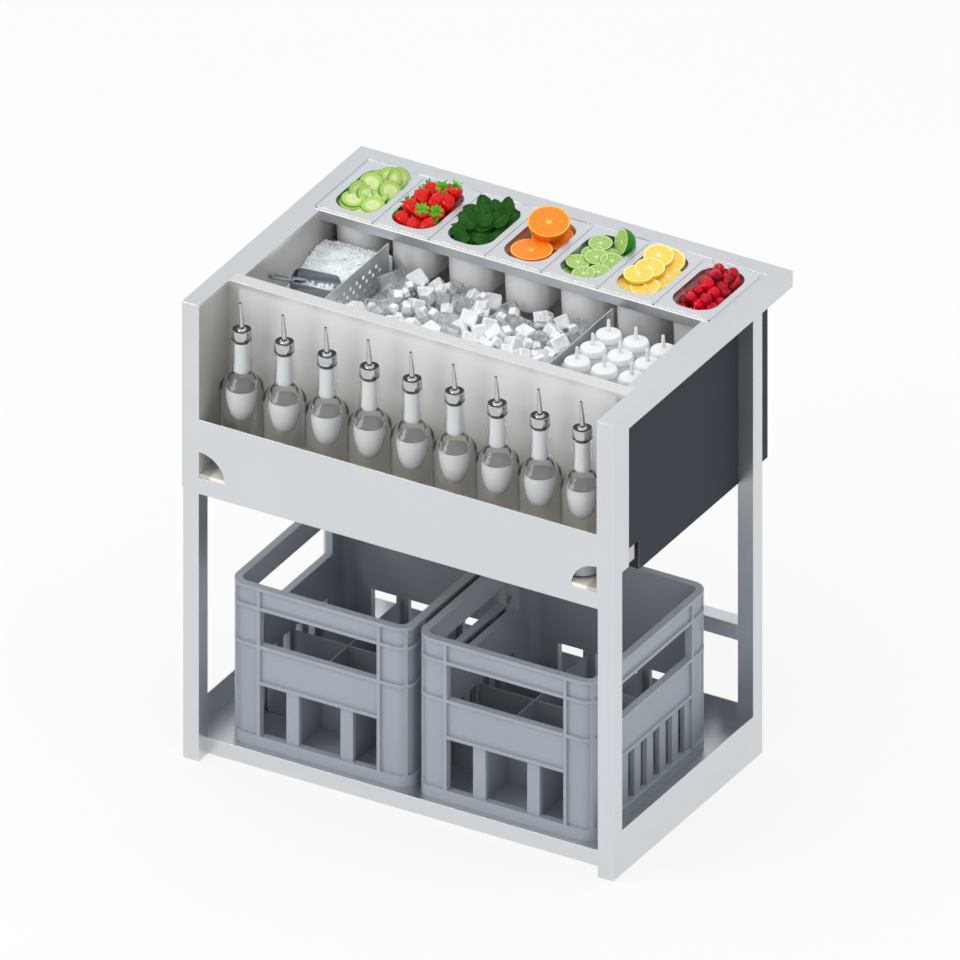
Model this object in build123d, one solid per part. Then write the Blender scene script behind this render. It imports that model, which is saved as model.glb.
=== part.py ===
"""Stainless cocktail station: speed rail, ice well, garnish pans and crate shelf on a tube frame.

Millimetres, +Z up. Y is measured back from the front face while the pieces are made, and every
piece is moved at the end so that the origin lies on the floor under the middle of the station.
"""
import os
from math import radians, sin

from build123d import *

# Overall
WIDTH = 838.0
DEPTH = 602.0
HEIGHT = 886.0
SHEET = 1.5
SLIP = 0.5

# Tube frame
TUBE = 30.0
TUBE_WALL = 1.5
REAR_OVERHANG = 100.0
CROSS_RAIL_BASE = 224.0
CAP_DEPTH = 12.0

# Crate shelf
LIP_GROUND_GAP = 1.5
SHELF_FLANGE = 52.5

# Front fascia
FASCIA_BELOW_FLOOR = 38.0
FASCIA_ABOVE_FLOOR = 106.0
FASCIA_CORNER = 10.0
RETURN_DEPTH = 50.0
RETURN_ABOVE_FLOOR = 28.0
PORT_RADIUS = 50.0
PORT_BELOW_FLOOR = 7.0
RIVET_DIAMETER = 6.0
RIVET_HEAD = 1.0
RIVET_HEAD_DIAMETER = 8.4
RIVET_BELOW_FLOOR = 13.0
RIVET_PITCH = 158.5

# Speed rail trough
TROUGH_DEPTH = 98.5
TROUGH_DROP = 327.0
TROUGH_FLANGE = 22.0
END_PLATE_LAP = 24.0

# Worktop
SKIRT = 29.5
RIM_STEP = 15.0
REAR_STRIP = 33.0
DECK_BAR = 8.0
DECK_SKIRT = 16.5

# Ice well
WALL_THICKNESS = 27.0
WALL_FOLD = 22.5
WELL_DEPTH = 286.0
WELL_BEHIND_PANS = 13.0
CASING_SETBACK = 11.0
CASING_TOP_DROP = 36.0
INSULATION_BASE = 67.5
INSULATION_BACK = 13.0
FALSE_FLOOR_RISE = 70.0
FALSE_FLOOR_GAP = 2.0
FLOOR_HOLE = 12.0
FLOOR_HOLE_PITCH = 56.0
DRAIN_DIAMETER = 40.0
DRAIN_BORE = 34.0
DRAIN_FLANGE = 64.0
DRAIN_TAIL = 45.0

# Dividers
DIVIDER_DROP = 22.0
DIVIDER_END_GAP = 4.0
LEFT_BAY = 136.0
RIGHT_BAY = 170.0
GUIDE_DEPTH = 6.0
DIVIDER_HOLE = 8.0
DIVIDER_HOLE_PITCH = 21.6
DIVIDER_ROW_PITCH = 12.0
DIVIDER_HOLE_MARGIN = 24.0

# Garnish pans
PAN_COUNT = 7
PAN_BETWEEN = 1.0
PAN_LENGTH = 176.0
PAN_CORNER = 8.0
PAN_RIM = 1.0
PAN_DEPTH = 100.0
PAN_WALL = 1.0
PAN_SIDE_RIM = 12.0
PAN_END_RIM = 15.0
PAN_OPENING_CORNER = 34.0
PAN_DRAFT = 4.0
PAN_ROW_SIDE_GAP = 5.5
PAN_ROW_END_GAP = 2.5
LEDGE_SIDE = 10.0
LEDGE_END = 10.0

# Fillings of the pans: slices lie at (x, y, lean, turn) from the pan's middle
GARNISH_DROP = 18.0
GARNISH_GAP = 2.0
CUCUMBER_RADIUS = 21.0
CUCUMBER_SLICE = 5.0
CUCUMBER_PLACES = [(-14, -44, 20, 30), (14, -46, 15, -20), (-12, -18, 25, 15), (16, -16, 18, 160),
                   (-14, 14, 30, 10), (14, 10, 20, 190), (-6, 34, 35, 0), (12, 40, 40, -10)]
STRAWBERRY_RADIUS = 13.0
STRAWBERRY_LINES = 3
STRAWBERRY_LINE_PITCH = 23.0
STRAWBERRY_PER_LINE = 4
STRAWBERRY_PITCH = 27.0
STRAWBERRY_RISE = 6.0
STRAWBERRY_STAGGER = 6.0
MINT_LENGTH = 44.0
MINT_WIDTH = 24.0
MINT_LEAF = 2.5
MINT_ROWS = 5
MINT_ROW_PITCH = 24.0
MINT_COLUMNS = 3
MINT_COLUMN_PITCH = 20.0
MINT_SINK = 5.0
MINT_LEAN = 35.0
MINT_LEAN_STEP = 18.0
MINT_TURN_STEP = 40.0
ORANGE_RADIUS = 36.0
ORANGE_PLACES = [(-29, 14, 0), (36, 8, 8), (29, 40, 17)]
LIME_RADIUS = 22.0
LIME_SLICE = 5.0
LIME_PLACES = [(-15, -46, 14, 20), (15, -44, 12, -30), (-14, -20, 22, 10), (14, -18, 18, 170),
               (-14, 8, 24, 0), (12, 12, 16, 30), (-10, 34, 20, -15)]
LIME_HALF_RADIUS = 24.0
LIME_HALF_PLACE = (16, 50, 21)
LIME_HALF_TURN = (70, 0, 60)
LEMON_RADIUS = 26.0
LEMON_SLICE = 6.0
LEMON_PLACES = [(-8, -42, 14, 10), (10, -40, 10, 40), (-8, -14, 24, 0), (10, -6, 20, 150),
                (-4, 16, 34, 5), (10, 26, 38, -10), (8, 42, 44, -15)]
CHERRY_RADIUS = 12.0
CHERRY_COLUMN_PITCH = 25.0
CHERRY_ROW_PITCH = 27.0
CHERRY_COLUMNS = 3
CHERRY_ROWS = 4
CHERRY_RISES = (3.0, 14.0)

# Speed bottles
BOTTLE_COUNT = 9
BOTTLE_END_GAP = 55.2
BOTTLE_BETWEEN = 7.2
BOTTLE_SETBACK = 46.5
BOTTLE_TAPER = 2.75
BOTTLE_BASE_EDGE = 4.0
BOTTLE_BODY = 162.0
BOTTLE_SHOULDER = 34.0
BOTTLE_NECK = 61.0
NECK_BASE_RADIUS = 17.5
NECK_RADIUS = 16.0
COLLAR_RADIUS = 17.0
COLLAR_HEIGHT = 18.0
SPOUT_HEIGHT = 51.0
SPOUT_BASE_RADIUS = 4.8
SPOUT_TIP_RADIUS = 2.5
SPOUT_LEAN = -3.0

# Squeeze bottles
SQUEEZE_PITCH = 53.0
SQUEEZE_ROWS = 3
SQUEEZE_RADIUS = 25.0
SQUEEZE_BODY = 178.0
SQUEEZE_EDGE = 6.0
SQUEEZE_WALL_GAP = 7.0
SQUEEZE_FRONT_GAP = 72.0
CAP_RADIUS = 23.0
CAP_BAND = 11.5
CAP_CONE = 2.5
NOZZLE_HEIGHT = 24.0
NOZZLE_BASE_RADIUS = 3.6
NOZZLE_TIP_RADIUS = 2.4

# Ice and scoop
ICE_GAP = 1.0
ICE_DROP = 74.0
ICE_BACK_DROP = 108.0
ICE_LEVEL = 110.0
ICE_UNDER_DECK = 14.0
CUBE = 30.0
CUBE_PITCH = 44.0
CUBE_TUMBLE = 37.0
CRUSHED_LOW_DROP = 72.0
CRUSHED_HIGH_DROP = 42.0
SCOOP_SEAT_DROP = 70.0
SCOOP_RADIUS = 27.0
SCOOP_LENGTH = 76.0
SCOOP_SHEET = 1.2
SCOOP_HANDLE = 44.0
SCOOP_HANDLE_RADIUS = 4.5
SCOOP_SIDE_GAP = 44.0
SCOOP_LIP_SLOPE = 40.0
SCOOP_FRONT_GAP = 104.0
SCOOP_TURN = 14.0

# Bottle crates
CRATE_COUNT = 2
CRATE_SIDE_GAP = 29.75
CRATE_REAR_GAP = 38.0
CRATE_HEIGHT = 308.5
CRATE_CORNER = 30.0
CRATE_WALL = 9.0
CRATE_RIB = 5.0
CRATE_RIB_WIDTH = 6.0
CRATE_BASE = 6.0
CRATE_GAP = 12.5
CRATE_SETBACK = 14.5
CRATE_TOP_BAND = 43.0
CRATE_HANDLE = 68.0
CRATE_MIDDLE_BAND = 76.0
CRATE_FOOT_BAND = 21.0
CRATE_SIDE_POST = 58.5
CRATE_PILLAR = 24.0
CRATE_MIDDLE_WINDOW = 81.0
CRATE_SLOT = 22.0
CRATE_SLAT = 20.0
GRID_SHEET = 2.5
GRID_GAP = 0.25
GRID_DROP = 190.0
GRID_COLUMNS = 3
GRID_ROWS = 4

# Places that several pieces share
FRAME_OUT = WIDTH / 2 - SHEET
FRAME_IN = FRAME_OUT - TUBE
BAY_X = FRAME_IN - SHEET
WELL_X = BAY_X - RIM_STEP
FRONT_LEG_BACK = SHEET + TUBE
REAR_LEG_BACK = DEPTH - REAR_OVERHANG
REAR_LEG_FRONT = REAR_LEG_BACK - TUBE
UNDER_TOP = HEIGHT - SHEET
RAIL_BASE = UNDER_TOP - TUBE
SHELF_TOP = TUBE + SHEET
TROUGH_FLOOR = HEIGHT - TROUGH_DROP
TROUGH_BACK = SHEET + TROUGH_DEPTH
WELL_FRONT = TROUGH_BACK + WALL_THICKNESS
WELL_FLOOR = HEIGHT - WELL_DEPTH
PAN_ROW_BACK = DEPTH - REAR_STRIP
PAN_ROW_FRONT = PAN_ROW_BACK - PAN_LENGTH - 2 * PAN_ROW_END_GAP
PAN_Y = (PAN_ROW_FRONT + PAN_ROW_BACK) / 2
PAN_ROW_X = FRAME_IN - SLIP
PAN_PITCH = 2 * (PAN_ROW_X - PAN_ROW_SIDE_GAP) / PAN_COUNT
PAN_WIDTH = PAN_PITCH - PAN_BETWEEN
PAN_OPENING_WIDTH = PAN_WIDTH - 2 * PAN_SIDE_RIM
PAN_OPENING_LENGTH = PAN_LENGTH - 2 * PAN_END_RIM
PAN_SEAT = HEIGHT - PAN_RIM
DECK_FRONT = PAN_ROW_FRONT - DECK_BAR
WELL_BACK = PAN_ROW_BACK - WELL_BEHIND_PANS
CASING_FRONT = WELL_FRONT + CASING_SETBACK
CASING_BACK = WELL_BACK + SHEET + INSULATION_BACK + SHEET
CASING_BASE = WELL_FLOOR - SHEET - INSULATION_BASE - SHEET
CASING_TOP = HEIGHT - CASING_TOP_DROP
FALSE_FLOOR = WELL_FLOOR + FALSE_FLOOR_RISE
LEFT_DIVIDER_X = -WELL_X + LEFT_BAY
RIGHT_DIVIDER_X = WELL_X - RIGHT_BAY
ICE_FRONT = WELL_FRONT + GUIDE_DEPTH + SLIP
ICE_BACK = DECK_FRONT + ICE_UNDER_DECK
BOTTLE_PITCH = 2 * (BAY_X - BOTTLE_END_GAP) / (BOTTLE_COUNT - 1)
BOTTLE_RADIUS = (BOTTLE_PITCH - BOTTLE_BETWEEN) / 2
BOTTLE_BASE_RADIUS = BOTTLE_RADIUS - BOTTLE_TAPER
BOTTLE_Y = SHEET + BOTTLE_SETBACK
CRATE_FRONT = FRONT_LEG_BACK + CRATE_SETBACK
CRATE_WIDTH = (2 * (BAY_X - CRATE_SIDE_GAP) - (CRATE_COUNT - 1) * CRATE_GAP) / CRATE_COUNT
CRATE_DEPTH = REAR_LEG_FRONT - CRATE_REAR_GAP - CRATE_FRONT


def block(x0, x1, y0, y1, z0, z1):
    """A box between two corners."""
    size = (x1 - x0, y1 - y0, z1 - z0)
    return Pos((x0 + x1) / 2, (y0 + y1) / 2, (z0 + z1) / 2) * Box(*size)


def both_sides(shape):
    """A shape on the right and its mirror on the left."""
    return [shape, mirror(shape, about=Plane.YZ)]


def row(count, pitch):
    """Centres of an even row about zero."""
    return [pitch * (index - (count - 1) / 2) for index in range(count)]


def square_tube(x0, x1, y0, y1, z0, z1, along):
    """A square tube between two corners, open along one axis."""
    wall = {axis: 0 if axis == along else TUBE_WALL for axis in "xyz"}
    bore = block(x0 + wall["x"], x1 - wall["x"], y0 + wall["y"], y1 - wall["y"],
                 z0 + wall["z"], z1 - wall["z"])
    return block(x0, x1, y0, y1, z0, z1) - bore


def frame():
    """Legs, floor bars, top rails, rear cross rail and the plugs in the feet."""
    front_leg = square_tube(FRAME_IN, FRAME_OUT, SHEET, FRONT_LEG_BACK, 0, UNDER_TOP, "z")
    rear_leg = square_tube(FRAME_IN, FRAME_OUT, REAR_LEG_FRONT, REAR_LEG_BACK, 0, RAIL_BASE, "z")
    floor_bar = square_tube(FRAME_IN, FRAME_OUT, FRONT_LEG_BACK, REAR_LEG_FRONT, 0, TUBE, "y")
    top_rail = square_tube(FRAME_IN, FRAME_OUT, FRONT_LEG_BACK, DEPTH - SHEET, RAIL_BASE, UNDER_TOP, "y")
    pieces = {}
    members = {"front_leg": front_leg, "rear_leg": rear_leg, "floor_bar": floor_bar, "top_rail": top_rail}
    for name, member in members.items():
        right, left = both_sides(member)
        pieces["right_" + name] = right
        pieces["left_" + name] = left
    pieces["rear_cross_rail"] = square_tube(-FRAME_IN, FRAME_IN, REAR_LEG_FRONT, REAR_LEG_BACK,
                                            CROSS_RAIL_BASE, CROSS_RAIL_BASE + TUBE, "x")
    plugs = []
    for leg_y in (SHEET, REAR_LEG_FRONT):
        plug = block(FRAME_IN + TUBE_WALL, FRAME_OUT - TUBE_WALL,
                     leg_y + TUBE_WALL, leg_y + TUBE - TUBE_WALL, 0, CAP_DEPTH)
        plugs += both_sides(plug)
    pieces["leg_caps"] = Compound(plugs)
    return pieces


def crate_shelf():
    """Folded tray on the floor bars, with its front lip turned down."""
    flange_top = SHELF_TOP + SHELF_FLANGE
    tray = block(-FRAME_OUT, FRAME_OUT, FRONT_LEG_BACK, REAR_LEG_FRONT, TUBE, SHELF_TOP)
    tray += block(-FRAME_IN, FRAME_IN, REAR_LEG_FRONT, REAR_LEG_BACK, TUBE, SHELF_TOP)
    tray += block(-BAY_X, BAY_X, FRONT_LEG_BACK, FRONT_LEG_BACK + SHEET, LIP_GROUND_GAP, SHELF_TOP)
    tray -= both_sides(block(BAY_X, FRAME_IN, FRONT_LEG_BACK, FRONT_LEG_BACK + SHEET, TUBE, SHELF_TOP))
    tray += both_sides(block(FRAME_OUT - SHEET, FRAME_OUT, FRONT_LEG_BACK, REAR_LEG_FRONT, TUBE, flange_top))
    tray += block(-FRAME_IN, FRAME_IN, REAR_LEG_BACK - SHEET, REAR_LEG_BACK, TUBE, flange_top)
    return tray


def front_fascia():
    """Front sheet with its band, two posts, side returns and two quarter-round ports."""
    base = TROUGH_FLOOR - FASCIA_BELOW_FLOOR
    band_top = TROUGH_FLOOR + FASCIA_ABOVE_FLOOR
    sheet = block(-WIDTH / 2, WIDTH / 2, 0, SHEET, base, UNDER_TOP)
    feet = [edge for edge in sheet.edges().filter_by(Axis.Y) if edge.center().Z < base + SHEET]
    sheet = fillet(feet, FASCIA_CORNER)
    sheet -= block(-BAY_X, BAY_X, 0, SHEET, band_top, UNDER_TOP)
    port_base = TROUGH_FLOOR - PORT_BELOW_FLOOR
    disc = Pos(BAY_X, SHEET / 2, port_base) * Rot(90, 0, 0) * Cylinder(PORT_RADIUS, SHEET)
    quarter = disc & block(BAY_X - PORT_RADIUS, BAY_X, 0, SHEET, port_base, port_base + PORT_RADIUS)
    sheet -= both_sides(quarter)
    side = block(FRAME_OUT, WIDTH / 2, 0, SHEET + RETURN_DEPTH, TROUGH_FLOOR + RETURN_ABOVE_FLOOR, UNDER_TOP)
    return sheet + both_sides(side)


def rivet_places():
    """X of the rivets that join the trough's flange to the fascia."""
    span = 2 * (BAY_X - PORT_RADIUS)
    return row(int(span // RIVET_PITCH) + 1, RIVET_PITCH)


def fascia_rivets():
    """Blind rivets with a low head on the fascia's front and a shank through the flange."""
    height = TROUGH_FLOOR - RIVET_BELOW_FLOOR
    shank = Cylinder(RIVET_DIAMETER / 2, 2 * SHEET, align=(Align.CENTER, Align.CENTER, Align.MAX))
    tail = Pos(0, 0, -2 * SHEET) * Cylinder(RIVET_HEAD_DIAMETER / 2, RIVET_HEAD,
                                            align=(Align.CENTER, Align.CENTER, Align.MAX))
    rivet = Rot(90, 0, 0) * (shank + tail)
    return Compound([Pos(x, 0, height) * rivet for x in rivet_places()])


def rivet_bores():
    """Holes for the rivets through the fascia and the trough's flange."""
    height = TROUGH_FLOOR - RIVET_BELOW_FLOOR
    reach = SHEET + TROUGH_FLANGE
    bore = Rot(90, 0, 0) * Cylinder(RIVET_DIAMETER / 2, reach)
    return [Pos(x, SHEET, height) * bore for x in rivet_places()]


def speed_rail_trough():
    """Bottle trough: floor, front flange turned down behind the fascia, and two end plates."""
    under = TROUGH_FLOOR - SHEET
    trough = block(-BAY_X, BAY_X, SHEET, TROUGH_BACK, under, TROUGH_FLOOR)
    trough += block(-BAY_X, BAY_X, SHEET, 2 * SHEET, TROUGH_FLOOR - TROUGH_FLANGE, TROUGH_FLOOR)
    trough -= rivet_bores()
    return trough + both_sides(block(BAY_X, FRAME_IN, SHEET, TROUGH_BACK + END_PLATE_LAP, under, UNDER_TOP))


def well_front_wall():
    """Channel between the trough and the well: trough's back, cap strip and bottom fold."""
    under = TROUGH_FLOOR - SHEET
    wall = block(-BAY_X, BAY_X, TROUGH_BACK, TROUGH_BACK + SHEET, under, HEIGHT)
    wall += block(-BAY_X, BAY_X, TROUGH_BACK, WELL_FRONT, UNDER_TOP, HEIGHT)
    return wall + block(-BAY_X, BAY_X, TROUGH_BACK, TROUGH_BACK + SHEET + WALL_FOLD, under, TROUGH_FLOOR)


def worktop():
    """Top sheet with its cut-outs, outer skirts and the fold in front of the pans."""
    top = block(-WIDTH / 2, WIDTH / 2, 0, DEPTH, UNDER_TOP, HEIGHT)
    top -= block(-BAY_X, BAY_X, 0, WELL_FRONT, UNDER_TOP, HEIGHT)
    top -= block(-WELL_X, WELL_X, WELL_FRONT, DECK_FRONT, UNDER_TOP, HEIGHT)
    top -= block(-PAN_ROW_X, PAN_ROW_X, PAN_ROW_FRONT, PAN_ROW_BACK, UNDER_TOP, HEIGHT)
    skirt_base = UNDER_TOP - SKIRT
    top += both_sides(block(FRAME_OUT, WIDTH / 2, SHEET + RETURN_DEPTH, DEPTH, skirt_base, UNDER_TOP))
    top += block(-FRAME_OUT, FRAME_OUT, DEPTH - SHEET, DEPTH, skirt_base, UNDER_TOP)
    return top + block(-WELL_X, WELL_X, DECK_FRONT, DECK_FRONT + SHEET, UNDER_TOP - DECK_SKIRT, UNDER_TOP)


def pan_ledge_frame():
    """Stepped ring inside the pan aperture that the pan rims sit on."""
    base = PAN_SEAT - SHEET
    ring = block(-PAN_ROW_X, PAN_ROW_X, PAN_ROW_FRONT, PAN_ROW_BACK, base, PAN_SEAT)
    return ring - block(-PAN_ROW_X + LEDGE_SIDE, PAN_ROW_X - LEDGE_SIDE,
                        PAN_ROW_FRONT + LEDGE_END, PAN_ROW_BACK - LEDGE_END, base, PAN_SEAT)


def drain_place():
    """Centre of the drain, under the middle of the well."""
    return Pos(0, (WELL_FRONT + WELL_BACK) / 2, 0)


def divider_guide(x):
    """Two ribs on the well's front wall that hold a divider's edge."""
    reach = SHEET / 2 + SLIP
    top = HEIGHT - DIVIDER_DROP - DIVIDER_HOLE_MARGIN
    ribs = []
    for side in (-1, 1):
        inner = x + side * reach
        outer = inner + side * SHEET
        ribs.append(block(min(inner, outer), max(inner, outer), WELL_FRONT, WELL_FRONT + GUIDE_DEPTH,
                          FALSE_FLOOR + SLIP, top))
    return ribs


def ice_well_liner():
    """Open stainless tank, with a drain hole, divider guides and a lower edge under the pans."""
    liner = block(-WELL_X - SHEET, WELL_X + SHEET, WELL_FRONT - SHEET, WELL_BACK + SHEET,
                  WELL_FLOOR - SHEET, UNDER_TOP)
    liner -= block(-WELL_X, WELL_X, WELL_FRONT, WELL_BACK, WELL_FLOOR, UNDER_TOP)
    lower_edge = PAN_SEAT - SHEET
    liner -= block(-WELL_X - SHEET, WELL_X + SHEET, DECK_FRONT + SHEET, WELL_BACK + SHEET, lower_edge, UNDER_TOP)
    liner -= drain_place() * Pos(0, 0, WELL_FLOOR) * Cylinder(DRAIN_DIAMETER / 2, 4 * SHEET)
    return liner + divider_guide(LEFT_DIVIDER_X) + divider_guide(RIGHT_DIVIDER_X)


def well_insulation():
    """Foam between the tank and its casing."""
    foam = block(-BAY_X, BAY_X, CASING_FRONT + SHEET, CASING_BACK - SHEET, CASING_BASE + SHEET, CASING_TOP)
    foam -= block(-WELL_X - SHEET, WELL_X + SHEET, CASING_FRONT, WELL_BACK + SHEET,
                  WELL_FLOOR - SHEET, CASING_TOP)
    return foam - drain_place() * Pos(0, 0, WELL_FLOOR) * Cylinder(DRAIN_DIAMETER / 2, 4 * INSULATION_BASE)


def well_casing():
    """Dark outer case round the insulated tank."""
    case = block(-FRAME_IN, FRAME_IN, CASING_FRONT, CASING_BACK, CASING_BASE, CASING_TOP)
    case -= block(-BAY_X, BAY_X, CASING_FRONT + SHEET, CASING_BACK - SHEET, CASING_BASE + SHEET, CASING_TOP)
    case -= block(-BAY_X, BAY_X, CASING_FRONT, CASING_FRONT + SHEET, WELL_FLOOR - SHEET, CASING_TOP)
    return case - drain_place() * Pos(0, 0, CASING_BASE) * Cylinder(DRAIN_DIAMETER / 2, 4 * SHEET)


def side_panels():
    """Dark cladding between the legs, cut away under the end of the trough."""
    panel = block(FRAME_IN, FRAME_IN + SHEET, FRONT_LEG_BACK, REAR_LEG_FRONT, CASING_BASE, RAIL_BASE)
    panel -= block(FRAME_IN, FRAME_IN + SHEET, FRONT_LEG_BACK, CASING_FRONT,
                   CASING_BASE, TROUGH_FLOOR + RETURN_ABOVE_FLOOR)
    right, left = both_sides(panel)
    return {"right_side_panel": right, "left_side_panel": left}


def false_floor():
    """Perforated floor on folded sides, standing in the tank."""
    half = WELL_X - FALSE_FLOOR_GAP
    front = WELL_FRONT + FALSE_FLOOR_GAP
    back = WELL_BACK - FALSE_FLOOR_GAP
    plate = Rectangle(2 * half, back - front)
    columns = row(int(2 * (half - FLOOR_HOLE) // FLOOR_HOLE_PITCH), FLOOR_HOLE_PITCH)
    lines = row(int((back - front - 2 * FLOOR_HOLE) // FLOOR_HOLE_PITCH), FLOOR_HOLE_PITCH)
    plate -= [Pos(x, y) * Circle(FLOOR_HOLE / 2) for x in columns for y in lines]
    floor = Pos(0, (front + back) / 2, FALSE_FLOOR - SHEET) * extrude(plate, SHEET)
    return floor + both_sides(block(half - SHEET, half, front, back, WELL_FLOOR, FALSE_FLOOR))


def drain_outlet():
    """Drain with a flange on the tank's floor and a threaded tail below the casing."""
    tail = WELL_FLOOR - CASING_BASE + DRAIN_TAIL
    pipe = Cylinder(DRAIN_DIAMETER / 2, tail, align=(Align.CENTER, Align.CENTER, Align.MAX))
    pipe += Cylinder(DRAIN_FLANGE / 2, SHEET, align=(Align.CENTER, Align.CENTER, Align.MIN))
    pipe -= Pos(0, 0, SHEET) * Cylinder(DRAIN_BORE / 2, tail + SHEET, align=(Align.CENTER, Align.CENTER, Align.MAX))
    return drain_place() * Pos(0, 0, WELL_FLOOR) * pipe


def divider(x):
    """Perforated plate standing on the false floor, with staggered rows of holes."""
    front = WELL_FRONT + SLIP
    back = DECK_FRONT - DIVIDER_END_GAP
    top = HEIGHT - DIVIDER_DROP
    length = back - front
    height = top - FALSE_FLOOR
    plate = Rectangle(length, height)
    rows = int((height - 2 * DIVIDER_HOLE_MARGIN) // DIVIDER_ROW_PITCH) + 1
    columns = int((length - 2 * DIVIDER_HOLE_MARGIN) // DIVIDER_HOLE_PITCH)
    first = height / 2 - DIVIDER_HOLE_MARGIN
    holes = []
    for line in range(rows):
        stagger = DIVIDER_HOLE_PITCH / 4 * (1 if line % 2 else -1)
        holes += [Pos(y + stagger, first - line * DIVIDER_ROW_PITCH) * Circle(DIVIDER_HOLE / 2)
                  for y in row(columns, DIVIDER_HOLE_PITCH)]
    plate -= holes
    upright = Plane((x, (front + back) / 2, (top + FALSE_FLOOR) / 2), x_dir=(0, 1, 0), z_dir=(1, 0, 0))
    return extrude(upright * plate, SHEET / 2, both=True)


def pan_core(inset, base, top):
    """Drafted round-cornered core of a pan, drawn in by an inset, about the pan's own centre."""
    def section(z):
        shrink = 2 * inset + 2 * PAN_DRAFT * (HEIGHT - z) / PAN_DEPTH
        outline = RectangleRounded(PAN_OPENING_WIDTH - shrink, PAN_OPENING_LENGTH - shrink,
                                   PAN_OPENING_CORNER - shrink / 2)
        return Pos(0, 0, z) * outline
    return loft([section(base), section(top)])


def garnish_pan():
    """Small deep pan with a flat rim and a rounded opening."""
    floor = PAN_SEAT - PAN_DEPTH
    pan = Pos(0, 0, PAN_SEAT) * extrude(RectangleRounded(PAN_WIDTH, PAN_LENGTH, PAN_CORNER), PAN_RIM)
    pan += pan_core(-PAN_WALL, floor - PAN_WALL, PAN_SEAT + PAN_RIM / 2)
    return pan - pan_core(0, floor, HEIGHT)


def slice_disc(radius, thickness, x, y, top, lean, turn):
    """A round slice leaning out of the bed, its lower edge sunk into the bed's top."""
    rise = radius * sin(radians(lean)) - thickness / 2
    return Pos(x, y, top + rise) * Rot(0, 0, turn) * Rot(lean, 0, 0) * Cylinder(radius, thickness)


def half_fruit(radius):
    """Half a round fruit, cut face up."""
    return Sphere(radius) & Pos(0, 0, -radius) * Box(2 * radius, 2 * radius, 2 * radius)


def cucumber_slices(top):
    """Round slices leaning on one another."""
    return [slice_disc(CUCUMBER_RADIUS, CUCUMBER_SLICE, x, y, top, lean, turn)
            for x, y, lean, turn in CUCUMBER_PLACES]


def strawberries(top):
    """Round berries in lengthwise rows."""
    berries = []
    for line, x in enumerate(row(STRAWBERRY_LINES, STRAWBERRY_LINE_PITCH)):
        shift = STRAWBERRY_STAGGER * (line % 2)
        berries += [Pos(x, y + shift, top + STRAWBERRY_RISE + shift) * Sphere(STRAWBERRY_RADIUS)
                    for y in row(STRAWBERRY_PER_LINE, STRAWBERRY_PITCH)]
    return berries


def mint_leaves(top):
    """Oval leaves standing up in a bunch."""
    leaves = []
    for line, y in enumerate(row(MINT_ROWS, MINT_ROW_PITCH)):
        for side, x in enumerate(row(MINT_COLUMNS, MINT_COLUMN_PITCH)):
            lean = MINT_LEAN + MINT_LEAN_STEP * ((line + side) % MINT_COLUMNS)
            leaf = Rot(lean, 0, 0) * extrude(Ellipse(MINT_WIDTH / 2, MINT_LENGTH / 2), MINT_LEAF)
            rise = MINT_LENGTH / 2 * sin(radians(lean)) - MINT_SINK
            leaves.append(Pos(x, y, top + rise) * Rot(0, 0, MINT_TURN_STEP * (line - 2 * side)) * leaf)
    return leaves


def orange_halves(top):
    """Two halves lying in the pan and one propped on them."""
    return [Pos(0, y, top + rise) * Rot(lean, 0, 0) * half_fruit(ORANGE_RADIUS) for y, rise, lean in ORANGE_PLACES]


def lime_slices(top):
    """Slices lying across the pan with one half standing at the back."""
    slices = [slice_disc(LIME_RADIUS, LIME_SLICE, x, y, top, lean, turn) for x, y, lean, turn in LIME_PLACES]
    x, y, rise = LIME_HALF_PLACE
    return slices + [Pos(x, y, top + rise) * Rot(*LIME_HALF_TURN) * half_fruit(LIME_HALF_RADIUS)]


def lemon_slices(top):
    """Large slices leaning towards the back of the pan."""
    return [slice_disc(LEMON_RADIUS, LEMON_SLICE, x, y, top, lean, turn) for x, y, lean, turn in LEMON_PLACES]


def cherries(top):
    """Round cherries in two layers, the upper ones over the gaps of the lower."""
    heap = []
    for layer, rise in enumerate(CHERRY_RISES):
        heap += [Pos(x, y, top + rise) * Sphere(CHERRY_RADIUS) for x in row(CHERRY_COLUMNS - layer, CHERRY_COLUMN_PITCH)
                 for y in row(CHERRY_ROWS - layer, CHERRY_ROW_PITCH)]
    return heap


GARNISHES = [cucumber_slices, strawberries, mint_leaves, orange_halves, lime_slices, lemon_slices, cherries]


def garnish(kind):
    """One pan's filling: a bed on the pan's floor with its pieces set into the top."""
    top = HEIGHT - GARNISH_DROP
    bed = pan_core(GARNISH_GAP, PAN_SEAT - PAN_DEPTH, top)
    reach = pan_core(GARNISH_GAP, PAN_SEAT - PAN_DEPTH, HEIGHT + SLIP)
    above = block(-PAN_WIDTH / 2, PAN_WIDTH / 2, -PAN_LENGTH / 2, PAN_LENGTH / 2, HEIGHT + SLIP, HEIGHT + PAN_DEPTH)
    return (bed + kind(top)) & (reach + above)


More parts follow.
